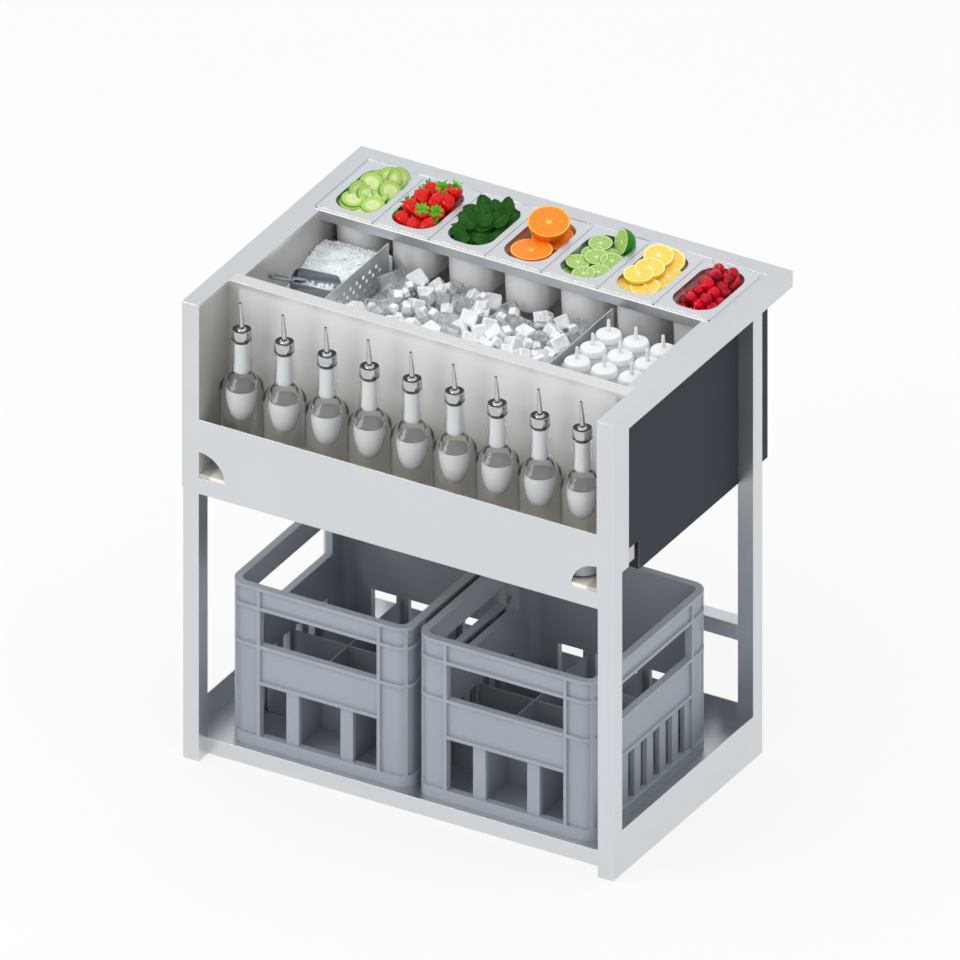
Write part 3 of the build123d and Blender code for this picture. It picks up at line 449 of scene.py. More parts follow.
@cache
def foam():
    return coated("insulation_foam", colours().foam, 0.9, 260.0, 0.001)


@cache
def plug_plastic():
    return coated("foot_plug_plastic", colours().plugs, 0.5, 700.0, 0.0002)


@cache
def squeeze_plastic():
    finish = Finish("milky_squeeze_plastic", subsurface_weight=0.25, subsurface_scale=0.01,
                    coat_roughness=0.2)
    cloud = finish.noise(finish.place(), 60.0)
    finish.wear("Coat Weight", cloud * 0.2)
    finish.bumped(cloud, 0.08, 0.0005)
    return finish.worn(finish.varied(cloud, colours().squeeze, 0.97, 1.0), 0.34 + cloud * 0.12)


@cache
def bottle_glass():
    finish = Finish("clear_bottle_glass", transmission_weight=1.0, ior=1.12, coat_weight=0.8)
    wave = finish.noise(finish.stretched(finish.place(), (30, 30, 8)), 1.0, 2.0)
    finish.bumped(wave, 0.05, 0.001)
    return finish.worn(finish.blend(wave, (0.975, 0.985, 0.98), (0.99, 0.995, 0.993)), wave * 0.02)


@cache
def pale_drink():
    """Milky below, with painted shade greying the level face that looks up."""
    finish = Finish("pale_drink", transmission_weight=0.2, ior=1.33)
    cloud = finish.noise(finish.place(), 14.0)
    upward = finish.split(finish.node("ShaderNodeNewGeometry", output="Normal"))[2]
    milk = finish.blend(cloud, linear(232, 234, 236), linear(240, 241, 242))
    # Painted shade: the face that looks up is greyed.
    body = finish.blend(finish.fade(upward, 0.3, 0.9), milk, linear(150, 148, 145))
    return finish.worn(body, 0.14 + cloud * 0.08)


WATER_BEND = 1.31
ICE_WHITE = linear(255, 255, 255)


def ice(name, through, low, high, rough):
    """Ice that lets some light through, with clouded veins and an uneven skin."""
    finish = Finish(name, transmission_weight=through, ior=WATER_BEND)
    place = finish.place()
    cloud = finish.noise(place, 75.0, 4.0)
    finish.bumped(finish.noise(place, 210.0, 3.0), 0.3, 0.001)
    return finish.worn(finish.blend(cloud, low, high), finish.fade(cloud, 0.4, 0.75, 0.04, rough))


@cache
def clear_ice():
    return ice("clear_ice", 0.8, linear(244, 246, 248), linear(254, 255, 255), 0.2)


@cache
def white_ice():
    return ice("white_ice", 0.1, linear(238, 242, 246), ICE_WHITE, 0.35)


@cache
def crushed_ice_white():
    finish = Finish("crushed_ice", subsurface_weight=0.2, subsurface_scale=0.008, ior=WATER_BEND)
    grain = finish.noise(finish.place(), 420.0, 4.0, 0.7)
    finish.bumped(grain, 0.4, 0.002)
    return finish.worn(finish.blend(grain, linear(238, 242, 246), ICE_WHITE),
                       finish.fade(grain, 0.3, 0.7, 0.25, 0.6))


def citrus(name, flesh, peel, pith, parts, peel_width, lines):
    """Cut fruit: peel, pale pith, and juicy segments between thin membranes."""
    finish = Finish(name, subsurface_weight=0.1, subsurface_scale=0.005, specular_ior_level=0.18)
    local = finish.local()
    x, y, z = finish.split(local)
    radius, turn = finish.polar(x, y)
    wedge = finish.zigzag(turn * (parts / (2 * pi)))
    membrane = finish.fade((1 - wedge) * radius, 0.02, 0.07, lines, 0.0)
    star = finish.fade(radius * (1.0 - 0.45 * wedge), 0.07, 0.12, 1.0, 0.0)
    rim = finish.fade(radius, 0.985 - 2.2 * peel_width, 1.0 - 1.6 * peel_width)
    pulp = finish.noise(finish.stretched(local, (9, 9, 3)), 2.2, 3.0)
    sacs = finish.cells(finish.stretched(local, (7, 7, 4)), 2.0)
    body = finish.varied(pulp, flesh, 0.88, 1.06)
    body = finish.blend(finish.fade(sacs, 0.15, 0.5) * lines * 0.4, body, paled(flesh, 0.25))
    veil = finish.largest(membrane, star, rim)
    body = finish.blend(veil * 0.9, body, pith)
    below = finish.fade(z, -0.10, -0.04, 1.0, 0.0)
    skin = finish.largest(finish.fade(radius, 1.0 - peel_width, 1.0 - 0.4 * peel_width), below)
    pores = finish.cells(finish.place(), 420.0)
    peeled = finish.varied(finish.fade(pores, 0.1, 0.6), peel, 0.86, 1.0)
    finish.bumped(pulp * (1 - skin) + pores * skin, 0.3, 0.001)
    return finish.worn(finish.blend(skin, body, peeled), 0.26 + veil * 0.2 + skin * 0.1)


@cache
def orange_fruit():
    return citrus("orange_half", colours().orange, colours().orange_peel, linear(255, 214, 104),
                  parts=10, peel_width=0.03, lines=0.2)


@cache
def lime_fruit():
    return citrus("lime_slice", colours().lime, colours().lime_peel, linear(222, 236, 178),
                  parts=9, peel_width=0.06, lines=0.6)


@cache
def lemon_fruit():
    return citrus("lemon_slice", colours().lemon, colours().lemon_peel, linear(255, 247, 210),
                  parts=10, peel_width=0.05, lines=0.6)


@cache
def cucumber_fruit():
    """Pale flesh, a ring of seeds in three beds and a dark skin."""
    finish = Finish("cucumber_slice", subsurface_weight=0.12, subsurface_scale=0.006, specular_ior_level=0.3)
    seed_count = 15
    bed_count = 3.0
    local = finish.local()
    x, y, _ = finish.split(local)
    radius, angle = finish.polar(x, y)
    wobble = finish.noise(local, 3.0, 2.0)
    seed = finish.zigzag(angle * (seed_count / (2 * pi)) + wobble)
    band = finish.fade(radius, 0.2, 0.3) * finish.fade(radius, 0.52, 0.64, 1.0, 0.0)
    beds = band * finish.fade(finish.call("COSINE", angle * bed_count), -0.75, 0.0)
    seeds = finish.fade(seed, 0.3, 0.65) * beds
    outline = finish.fade(seed, 0.15, 0.3) * (1 - finish.fade(seed, 0.3, 0.5)) * beds
    heart = finish.fade(radius, 0.5, 0.72, 1.0, 0.0)
    green = finish.fade(radius, 0.84, 0.95)
    body = finish.varied(finish.noise(local, 6.0), colours().cucumber, 0.88, 1.08)
    for mask, tone in ((heart * 0.55, linear(222, 230, 176)), (seeds * 0.7, linear(240, 238, 200)),
                       (outline * 0.55, linear(142, 168, 84)), (green * 0.75, linear(142, 192, 70)),
                       (finish.fade(radius, 0.95, 0.985), colours().rind)):
        body = finish.blend(mask, body, tone)
    finish.bumped(seeds + wobble * 0.4, 0.3, 0.0012)
    return finish.worn(body, 0.26 + wobble * 0.15)


@cache
def strawberry_flesh():
    """Glossy red with sunken yellow seeds and paler shoulders."""
    finish = Finish("strawberry_flesh", coat_roughness=0.08, specular_ior_level=0.15)
    local = finish.local()
    height = finish.split(local)[2]
    pits = finish.cells(finish.stretched(local, (1, 1, 0.7)), 6.5)
    seed = finish.fade(pits, 0.13, 0.2, 1.0, 0.0)
    body = finish.varied(finish.noise(local, 2.5), colours().strawberry, 0.8, 1.15)
    body = finish.blend(finish.fade(height, 0.55, 0.9) * 0.35, body, linear(240, 110, 80))
    finish.wear("Coat Weight", 0.25 - seed * 0.15)
    finish.bumped(finish.fade(pits, 0.1, 0.4), 0.7, 0.0012)
    return finish.worn(finish.blend(seed, body, linear(226, 176, 84)), 0.22 + seed * 0.2)


@cache
def cherry_skin():
    finish = Finish("cherry_skin", coat_roughness=0.05, specular_ior_level=0.15)
    tone = finish.noise(finish.place(), 45.0)
    finish.wear("Coat Weight", 0.1 + tone * 0.15)
    body = finish.varied(finish.fade(tone, 0.3, 0.7), colours().cherry, 0.35, 1.35)
    return finish.worn(body, 0.2 + tone * 0.1)


def leaf_green(name, colour, veins, gloss):
    """Leaf with a pale midrib, slanting side veins and quilted flesh between them."""
    finish = Finish(name, subsurface_weight=0.1, subsurface_scale=0.003, specular_ior_level=0.1)
    x, y, _ = finish.split(finish.local())
    side = finish.call("ABSOLUTE", x)
    vein = finish.fade(finish.zigzag(y * veins - side * 1.6), 0.84, 0.98)
    rib = finish.fade(side, 0.02, 0.08, 1.0, 0.0)
    tone = finish.noise(finish.place(), 70.0)
    lines = finish.largest(vein * 0.6, rib)
    body = finish.varied(tone, colour, 0.5, 1.6)
    finish.bumped(1 - lines, 0.6, 0.0012)
    return finish.worn(finish.blend(lines * 0.5, body, paled(colour, 0.12)), gloss + tone * 0.2)


@cache
def mint_green():
    return leaf_green("mint_leaf", colours().mint, 7.0, 0.32)


@cache
def calyx_green():
    return leaf_green("strawberry_calyx", colours().calyx, 4.0, 0.4)


# A face looks along an axis when its normal has more than this of it.
UPRIGHT = 0.9


def pick(*objects):
    """Leaves edit mode and selects only these objects, the first one active."""
    if bpy.context.mode != "OBJECT":
        bpy.ops.object.mode_set(mode="OBJECT")
    bpy.ops.object.select_all(action="DESELECT")
    for obj in objects:
        obj.select_set(True)
    if objects:
        bpy.context.view_layer.objects.active = objects[0]


def shape(obj, kind="FACE", whole=False):
    """Opens an object for shaping, with nothing or all of it selected."""
    pick(obj)
    bpy.ops.object.mode_set(mode="EDIT")
    bpy.ops.mesh.select_mode(type=kind)
    bpy.ops.mesh.select_all(action="SELECT" if whole else "DESELECT")


def choose(obj, kind, test):
    """Selects the vertices, edges or faces that pass a test."""
    mesh = bmesh.from_edit_mesh(obj.data)
    bpy.ops.mesh.select_all(action="DESELECT")
    for item in getattr(mesh, kind):
        if test(item):
            item.select_set(True)
    mesh.select_flush_mode()
    bmesh.update_edit_mesh(obj.data)


def leave():
    """Closes edit mode and gives back the object."""
    bpy.ops.object.mode_set(mode="OBJECT")
    return bpy.context.object


def done():
    """Closes edit mode with every face pointing outwards."""
    bpy.ops.mesh.select_all(action="SELECT")
    bpy.ops.mesh.normals_make_consistent(inside=False)
    return leave()


def settled():
    """The new primitive with its place in its mesh."""
    bpy.ops.object.transform_apply(location=True, rotation=True, scale=True)
    return bpy.context.object


def extrude(*step):
    """Extrudes what is selected by a step along x, y and z."""
    bpy.ops.mesh.extrude_region_move(TRANSFORM_OT_translate={"value": step})


def drawn(path, radii, segments=12):
    """A round rod drawn along points, in millimetres, with a radius at each."""
    pick()
    bpy.ops.mesh.primitive_circle_add(vertices=segments, radius=radii[0] * MM, fill_type="NGON",
                                      location=[value * MM for value in path[0]])
    shape(settled(), whole=True)
    for before, after, thin, thick in zip(path, path[1:], radii, radii[1:]):
        extrude(*((b - a) * MM for a, b in zip(before, after)))
        ratio = thick / thin
        bpy.ops.transform.resize(value=(ratio, ratio, 1), center_override=[value * MM for value in after])
    return done()


def turned(profile, segments=40):
    """A disc raised through rings of (radius, height), as on a lathe, in millimetres."""
    radii, heights = zip(*profile)
    return drawn([(0, 0, height) for height in heights], radii, segments)


def remember(obj, place):
    """Keeps each vertex's place on the single piece, in units of its size, for its pattern."""
    layer = obj.data.attributes.new("local", "FLOAT_VECTOR", "POINT")
    for vertex, item in zip(obj.data.vertices, layer.data):
        item.vector = place(vertex.co)
    return obj


def laid(obj, place, turn=(0, 0, 0), scale=1.0):
    """A copy with its own mesh, turned by degrees and laid at a place."""
    twin = obj.copy()
    twin.data = obj.data.copy()
    bpy.context.collection.objects.link(twin)
    matrix = Matrix.Translation(place) @ Euler([radians(a) for a in turn]).to_matrix().to_4x4()
    twin.data.transform(matrix @ Matrix.Scale(scale, 4))
    return twin


def joined(objects):
    """Several objects as one."""
    pick(*objects)
    bpy.ops.object.join()
    return bpy.context.object


def coat(obj, material):
    """Gives the whole object one finish."""
    obj.data.materials.clear()
    obj.data.materials.append(material)
    return obj


def fit(obj, name, slot, body, *nodes, angle=SHARP):
    """Names a finished piece, smooths it and sets it on its body in place of CAD nodes."""
    obj.name = name
    obj.data.name = name
    pick(obj)
    bpy.ops.object.shade_smooth_by_angle(angle=radians(angle))
    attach(obj, body)
    if nodes:
        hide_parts(*nodes)
    return obj


def drop(*objects):
    """Removes pattern pieces that were only copied."""
    for obj in objects:
        bpy.data.objects.remove(obj)


def applied(obj, kind, **settings):
    """Adds a modifier with its settings and applies it."""
    pick(obj)
    modifier = obj.modifiers.new(kind.lower(), kind)
    for key, value in settings.items():
        setattr(modifier, key, value)
    bpy.ops.object.modifier_apply(modifier=modifier.name)
    return obj


def rounded_edges(obj, width, segments=2):
    """Bevels all sharp edges of an object for good."""
    return applied(obj, "BEVEL", width=width, segments=segments, limit_method="ANGLE",
                   angle_limit=radians(SHARP))


def roughened(obj, offset, seed):
    """Moves each vertex a little, at random."""
    shape(obj, "VERT", whole=True)
    bpy.ops.transform.vertex_random(offset=offset, seed=seed)
    return leave()


def middle(low, high, height):
    """Middle of a box in plan, at a height."""
    return Vector(((low[0] + high[0]) / 2, (low[1] + high[1]) / 2, height))


def pan_place(index):
    """Middle of a pan's rim at its top, counted from the left."""
    low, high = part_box(f"garnish_pan_{index}")
    return middle(low, high, high[2])


def spot(x, y, z):
    """A place given in millimetres."""
    return Vector((x, y, z)) * MM


class STATION_OT_stage(bpy.types.Operator):
    """Sets up the floor, the lights, the surroundings and the camera"""
    bl_idname = "station.stage"
    bl_label = "Stage"
    FLOOR_WIDTH = 14.0
    FLOOR_GLOW = 0.8
    # Each lamp's place, width in metres and power in watts.
    LAMPS = {
        "key": ((-2.0, -3.0, 3.2), 1.4, 36),
        "fill": ((3.0, -1.8, 2.4), 2.2, 6),
        "top": ((0.2, 0.4, 3.6), 3.4, 16),
    }
    LAMPS_AIM = Vector((0, 0, 0.5))
    AZIMUTH = radians(30.03)
    ELEVATION = radians(30.06)
    VIEW_WIDTH = 1.6139
    # From the middle of the front edge on the floor to the camera.
    VIEW_RIGHT = 0.1382
    VIEW_UP = 0.5709
    VIEW_BACK = 5.0

    def execute(self, context):
        self.surroundings(context.scene)
        self.floor()
        self.lamps()
        self.camera(context.scene)
        context.scene.view_settings.view_transform = "Standard"
        return {"FINISHED"}

    def seen(self, nodes):
        """1 for what the camera, metal or glass sees."""
        path = nodes.tree.nodes.new("ShaderNodeLightPath")
        camera, glossy, through = (Value(nodes, path.outputs[name]) for name in
                                   ("Is Camera Ray", "Is Glossy Ray", "Is Transmission Ray"))
        return nodes.call("MINIMUM", camera + glossy + through, 1.0)

    def surroundings(self, scene):
        world = bpy.data.worlds.new("soft_studio")
        scene.world = world
        world.use_nodes = True
        nodes = Nodes(world.node_tree)
        world.node_tree.nodes.clear()
        across, _, up = nodes.split(nodes.node("ShaderNodeTexCoord", output="Generated"))
        sky = nodes.blend(nodes.fade(up, 0.1, 0.95), (1.0, 1.0, 1.0), (0.74, 0.76, 0.78))
        sky = nodes.blend(nodes.fade(across, 0.1, 0.9), sky, (0.6, 0.63, 0.68))
        soft = nodes.node("ShaderNodeBackground", None, {"Color": (0.985, 0.99, 1.0), "Strength": 1.0})
        plain = nodes.node("ShaderNodeBackground", None, {"Color": sky, "Strength": 1.0})
        mixed = nodes.node("ShaderNodeMixShader", None, {0: self.seen(nodes), 1: soft, 2: plain})
        output = world.node_tree.nodes.new("ShaderNodeOutputWorld")
        nodes.feed(output.inputs["Surface"], mixed)

    def floor(self):
        pick()
        bpy.ops.mesh.primitive_plane_add(size=self.FLOOR_WIDTH)
        floor = settled()
        floor.name = "pale_floor"
        finish = Finish("pale_floor", roughness=0.9, specular_ior_level=0.1)
        cloud = finish.noise(finish.place(), 2.0)
        finish.wear("Base Color", finish.blend(cloud, (0.9, 0.9, 0.9), (0.93, 0.93, 0.93)))
        glow = finish.node("ShaderNodeEmission", None, {"Color": (0.97, 0.973, 0.976), "Strength": 1.0})
        skin = Value(finish, finish.skin.outputs[0])
        mixed = finish.node("ShaderNodeMixShader", None,
                            {0: self.seen(finish) * self.FLOOR_GLOW, 1: skin, 2: glow})
        finish.feed(finish.tree.nodes["Material Output"].inputs["Surface"], mixed)
        coat(floor, finish.material)

    def lamps(self):
        for name, (place, width, power) in self.LAMPS.items():
            pick()
            bpy.ops.object.light_add(type="AREA", location=place)
            lamp = bpy.context.object
            lamp.name = name
            lamp.data.energy = power
            lamp.data.size = width
            lamp.rotation_euler = (self.LAMPS_AIM - lamp.location).to_track_quat("-Z", "Y").to_euler()

    def camera(self, scene):
        turn = self.AZIMUTH
        tilt = self.ELEVATION
        right = Vector((cos(turn), sin(turn), 0))
        up = Vector((-sin(turn) * sin(tilt), cos(turn) * sin(tilt), cos(tilt)))
        back = right.cross(up)
        front_foot = Vector((0, CAD_BOX[0][1], 0))
        place = front_foot + right * self.VIEW_RIGHT + up * self.VIEW_UP + back * self.VIEW_BACK
        pick()
        bpy.ops.object.camera_add(location=place)
        camera = bpy.context.object
        camera.rotation_euler = (-back).to_track_quat("-Z", "Y").to_euler()
        camera.data.type = "ORTHO"
        camera.data.ortho_scale = self.VIEW_WIDTH
        scene.camera = camera


class STATION_OT_metalwork(bpy.types.Operator):
    """Finishes the frame, the sheets, the casing and the hidden pieces of the station"""
    bl_idname = "station.metalwork"
    bl_label = "Metalwork"

    def execute(self, context):
        finishes = {
            tube_steel: ["left_front_leg", "right_front_leg", "left_rear_leg", "right_rear_leg"],
            sheet_steel: ["left_floor_bar", "right_floor_bar", "left_top_rail", "right_top_rail",
                          "rear_cross_rail", "crate_shelf", "front_fascia", "fascia_rivets", "worktop",
                          "pan_ledge_frame", "drain_outlet", "left_divider", "right_divider"],
            inner_steel: ["speed_rail_trough", "well_front_wall", "ice_well_liner", "false_floor"],
            slate_coat: ["well_casing", "left_side_panel", "right_side_panel"],
            foam: ["well_insulation"],
            plug_plastic: ["leg_caps"],
            crate_plastic: ["bottle_crate_1", "bottle_crate_2", "crate_grid_1", "crate_grid_2"],
            pan_steel: [f"garnish_pan_{index}" for index in PANS],
        }
        for finish, nodes in finishes.items():
            for name in nodes:
                coat(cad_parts[name], finish())
        return {"FINISHED"}


class STATION_OT_speed_bottles(bpy.types.Operator):
    """Makes the speed bottles, the drink in them and their pour spouts"""
    bl_idname = "station.speed_bottles"
    bl_label = "Speed bottles"
    # Rings of (radius, height) above the bottle's base, in millimetres.
    FOOT = [(30, 1.2), (31.5, 0.0), (33.6, 1.2), (35, 4), (35.3, 22)]
    NECK = [(16.6, 226), (16.3, 250), (16.3, 257.5), (15.8, 258.5)]
    CUP = [(2, 100.5), (6, 101.5), (12, 105.5), (17, 114), (20.8, 128), (23.4, 146)]
    CUP_TOP = [(19, 188), (22.5, 178), (24.6, 168)]
    FOOT_DRINK = [(27, 3.4), (31, 4), (32.4, 7), (32.6, 24), (31.4, 26), (4, 26.5)]
    SLEEVE = [(11, 194.4), (12.9, 194), (13.3, 195), (13.3, 205), (12.6, 207), (12.4, 257), (11, 258)]
    BAND = [(16.5, 257), (17.1, 257.8), (17.1, 273.6), (16.7, 274.4), (16.0, 274.4), (15.7, 273.6),
            (15.7, 266)]
    # A dark ring at the band's foot, painted as the dark reflection of the chrome.
    PAINTED_DARK_RING = [(16.4, 255.8), (17.3, 256.2), (17.3, 257.4), (16.4, 257.8)]
    SEAL = [(12.6, 250), (15.8, 262), (15.8, 272.8), (14.8, 273.6), (10.2, 273.2), (9.4, 272)]
    DOME = [(9.4, 268), (9.4, 272.6), (8.7, 274.2), (7.2, 275.6), (5.6, 276.4), (5.0, 276.6)]
    SHOULDER_STEPS = 8
    NECK_FOOT = 17.5
    SHOULDER_SWELL = 20.25
    SHOULDER_BASE = 162
    SHOULDER_RISE = 34
    MOUTH = 16.3
    DRINK_GAP = 0.15
    ROUND = 48

    def execute(self, context):
        level = sizes().drink / MM
        glass = self.glass(sizes().glass / MM)
        cup = [(radius + self.DRINK_GAP, height - self.DRINK_GAP) for radius, height in self.CUP]
        surface = [(24.6, level), (23.6, level - 0.8), (2, level - 1)]
        drink = joined([turned(cup + surface, self.ROUND), turned(self.FOOT_DRINK, self.ROUND)])
        collar = self.collar()
        spout = self.spout()
        for index in BOTTLES:
            node = f"speed_bottle_{index}"
            body = f"bottle_{index}"
            low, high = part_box(node)
            place = middle(low, high, low[2])
            fit(coat(laid(glass, place), bottle_glass()), f"bottle_glass_{index}", "bottle_glass", body, node)
            fit(coat(laid(drink, place), pale_drink()), f"drink_{index}", "bottle_glass", body, node)
            fit(laid(collar, place), f"pour_collar_{index}", "stainless", body, node)
            fit(laid(spout, place), f"pour_spout_{index}", "stainless", body, node)
        drop(glass, drink, collar, spout)
        return {"FINISHED"}

    def glass(self, wall):
        """Outer skin and inner cup of a bottle as one closed wall of glass."""
        shares = [step / self.SHOULDER_STEPS for step in range(self.SHOULDER_STEPS + 1)]
        shoulder = [(self.NECK_FOOT + self.SHOULDER_SWELL * (0.5 + 0.5 * cos(pi * share)),
                     self.SHOULDER_BASE + self.SHOULDER_RISE * share) for share in shares]
        throat = [(self.MOUTH - wall, 258.5), (self.MOUTH - wall, 226), (17.2 - wall, 198)]
        return turned(self.FOOT + shoulder + self.NECK + throat + self.CUP_TOP + self.CUP[::-1], self.ROUND)

    def collar(self):
        """Chrome band over a dark ring that is a painted dark reflection, a black seal and a small dome in
        its top, and a pale sleeve below.
        """
        pieces = ((self.BAND, self.ROUND, chrome), (self.PAINTED_DARK_RING, self.ROUND, black_rubber_and_dark_reflection),
                  (self.SEAL, 40, black_rubber_and_dark_reflection), (self.DOME, 32, chrome), (self.SLEEVE, 32, squeeze_plastic))
        return joined([coat(turned(rings, segments), finish()) for rings, segments, finish in pieces])

    def spout(self):
        """Slim tapering tube with a slight lean and a dark open tip."""
        path = [(0, 0, 274), (0, 0, 279), (-0.1, 0, 285), (-0.3, 0, 291), (-0.7, 0, 297), (-1.2, 0, 303),
                (-1.8, 0, 309), (-2.3, 0, 315), (-2.7, 0, 320), (-2.9, 0, 324)]
        radii = [4.9, 4.7, 4.5, 4.2, 3.9, 3.6, 3.2, 2.9, 2.6, 2.4]
        tip_wall = 0.7
        tip_depth = 6
        tube = coat(drawn(path, radii, 20), chrome())
        shape(tube)
        choose(tube, "faces", lambda face: face.normal.z > UPRIGHT)
        tube.data.materials.append(black_rubber_and_dark_reflection())
        tube.active_material_index = 1
        bpy.ops.object.material_slot_assign()
        bpy.ops.mesh.inset(thickness=tip_wall * MM)
        extrude(0, 0, -tip_depth * MM)
        return leave()


class STATION_OT_squeeze_bottles(bpy.types.Operator):
    """Makes the squeeze bottles and their capped nozzles"""
    bl_idname = "station.squeeze_bottles"
    bl_label = "Squeeze bottles"
    # Rings of (radius, height) above the bottle's base, in millimetres.
    BODY = [(20, 0.8), (21.5, 0), (23.8, 1), (25, 4), (25, 158), (24.6, 162), (25, 164), (25, 168),
            (24.4, 173), (22.4, 176.6), (19.4, 178)]
    CAP = [(20.5, 178.2), (23.4, 178.2), (24, 178.8), (23.8, 181.5), (22.4, 186.6), (21.4, 189.2),
           (20.2, 190.1), (14, 191.2), (6.5, 192.3), (4.4, 193.2), (3.7, 195), (3.4, 203), (2.9, 211),
           (2.6, 215), (2.1, 216.2), (1.2, 216.4), (1.1, 213)]
    RADIUS = 25 * MM
    PITCH = 53 * MM
    CAP_TURN = 17

    def execute(self, context):
        low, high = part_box("squeeze_bottles")
        columns, rows = (round((high[axis] - low[axis] - 2 * self.RADIUS) / self.PITCH) + 1
                         for axis in (0, 1))
        corner = Vector((low[0] + self.RADIUS, low[1] + self.RADIUS, low[2]))
        places = [corner + Vector((column, line, 0)) * self.PITCH
                  for column in range(columns) for line in range(rows)]
        body = turned(self.BODY)
        cap = turned(self.CAP)
        bodies = joined([laid(body, place) for place in places])
        caps = joined([laid(cap, place, (0, 0, self.CAP_TURN * index)) for index, place in enumerate(places)])
        drop(body, cap)
        fit(coat(bodies, squeeze_plastic()), "squeeze_bottle_set", "squeeze_plastic", "station",
            "squeeze_bottles")
        fit(coat(caps, squeeze_plastic()), "squeeze_cap_set", "squeeze_plastic", "station", "squeeze_caps",
            angle=24)
        return {"FINISHED"}


def cut_slice(radius, thickness):
    """A round slice with eased edges and slightly sunken faces."""
    pick()
    bpy.ops.mesh.primitive_cylinder_add(vertices=36, radius=radius, depth=thickness, end_fill_type="NGON")
    obj = bpy.context.object
    shape(obj)
    choose(obj, "faces", lambda face: abs(face.normal.z) > UPRIGHT)
    bpy.ops.mesh.inset(thickness=radius * 0.06, use_individual=True)
    for share, sink in ((0.2, 0.5), (0.28, 0.2), (0.24, -0.2)):
        bpy.ops.mesh.inset(thickness=radius * share, use_individual=True)
        bpy.ops.transform.shrink_fatten(value=-sink * MM)
    return remember(rounded_edges(leave(), 0.8 * MM), lambda at: at / radius)


def half_fruit(radius, squash=1.0):
    """Half a round fruit, cut face up, with a faintly sunken face."""
    turns = [pi / 2 * step / 9 for step in range(1, 10)]
    rings = [(sin(turn), -squash * cos(turn)) for turn in turns]
    rings += [(0.985, 0.012), (0.95, 0.016), (0.7, 0.004), (0.35, 0.0), (0.08, -0.03)]
    half = turned([(wide * radius / MM, high * radius / MM) for wide, high in rings], 48)
    return remember(half, lambda at: at / radius)


def leaf(length, width, curl, rows=8, blunt=0.8):
    """A pointed leaf on a grid, narrowed row by row, folded along its rib and curled."""
    pick()
    bpy.ops.mesh.primitive_grid_add(x_subdivisions=4, y_subdivisions=rows, size=1.0)
    obj = bpy.context.object
    shape(obj, "VERT")
    for line in range(rows + 1):
        at = line / rows
        spread = max(0.04, sin(pi * at ** 0.85) ** blunt) * width * (1.0 + 0.08 * (line % 2))
        choose(obj, "verts", lambda v, y=at - 0.5: abs(v.co.y - y) < 0.02)
        bpy.ops.transform.resize(value=(spread, 1, 1), center_override=(0, at - 0.5, 0))
        bpy.ops.transform.translate(value=(0, 0, -curl * (at - 0.25) ** 2))
    choose(obj, "verts", lambda v: abs(v.co.x) < 0.001)
    bpy.ops.transform.translate(value=(0, 0, -0.12 * width))
    bpy.ops.mesh.select_all(action="SELECT")
    bpy.ops.transform.translate(value=(0, 0.5, 0))
    bpy.ops.transform.resize(value=(length, length, length), center_override=(0, 0, 0))
    half_width = width * length / 2
    remember(leave(), lambda at: (at.x / half_width, at.y / length, 0))
    return applied(obj, "SOLIDIFY", thickness=0.5 * MM)


# A pan's mouth in plan: its straight sides reach this far from its middle, with this corner radius beyond.
MOUTH_X = 8
MOUTH_Y = 39
MOUTH_CORNER = 31


def kept(x, y, reach):
    """The place nearest to (x, y) where a piece of this reach stays clear of a pan's wall, in millimetres."""
    corner = Vector((max(abs(x) - MOUTH_X, 0), max(abs(y) - MOUTH_Y, 0)))
    room = max(0.0, MOUTH_CORNER - reach)
    if corner.length > room:
        corner *= room / corner.length
    return copysign(min(abs(x), MOUTH_X) + corner.x, x), copysign(min(abs(y), MOUTH_Y) + corner.y, y)


def heap(pan, piece, reach, places):
    """Pieces of one kind in a pan, at (x, y, z, lean, turn) from the middle of its rim, in mm and degrees."""
    rim = pan_place(pan)
    pieces = []
    for x, y, z, lean, turn in places:
        if z < 0:
            x, y = kept(x, y, reach * cos(radians(lean)))
        pieces.append(laid(piece, rim + spot(x, y, z), (lean, 0, turn)))
    drop(piece)
    return joined(pieces)


def flat_bed(spread_x, spread_y, depth, seed):
    """Places of the slices that lie nearly flat under the ones that show."""
    chance = random.Random(seed)
    places = []
    for x in (-spread_x, spread_x):
        for line in range(4):
            y = -spread_y + 2 * spread_y * line / 3
            places.append((x + chance.uniform(-3, 3), y + chance.uniform(-3, 3),
                           depth + chance.uniform(-2, 2), chance.uniform(3, 14), chance.uniform(0, 360)))
    return places


class STATION_OT_cucumber(bpy.types.Operator):
    """Fills the first pan with cucumber slices"""
    bl_idname = "station.cucumber"
    bl_label = "Cucumber slices"

    def execute(self, context):
        radius = sizes().cucumber
        places = flat_bed(18, 48, -22, 11) + flat_bed(16, 44, -32, 12)
        places += [(-18, -38, -10, 8, 30), (-20, -30, -6, 12, 40), (20, -28, -9, 10, 20), (2, -52, -13, 6, 0),
                   (-20, -6, -5, 52, 62), (-4, -6, -8, 40, 75), (8, 0, -8, 12, 40), (-10, 15, 4, 38, 28),
                   (14, 14, -8, 24, 60), (8, 46, 3, 46, 30), (20, 56, 0, 56, 46), (24, 22, -6, 40, 64),
                   (-16, 46, -8, 26, 10), (-18, 24, -10, 18, 0)]
        slices = heap(1, cut_slice(radius, 5.5 * MM), radius / MM, places)
        fit(coat(slices, cucumber_fruit()), "cucumber_heap", "cucumber", "pan_1", "cucumber_slices")
        return {"FINISHED"}


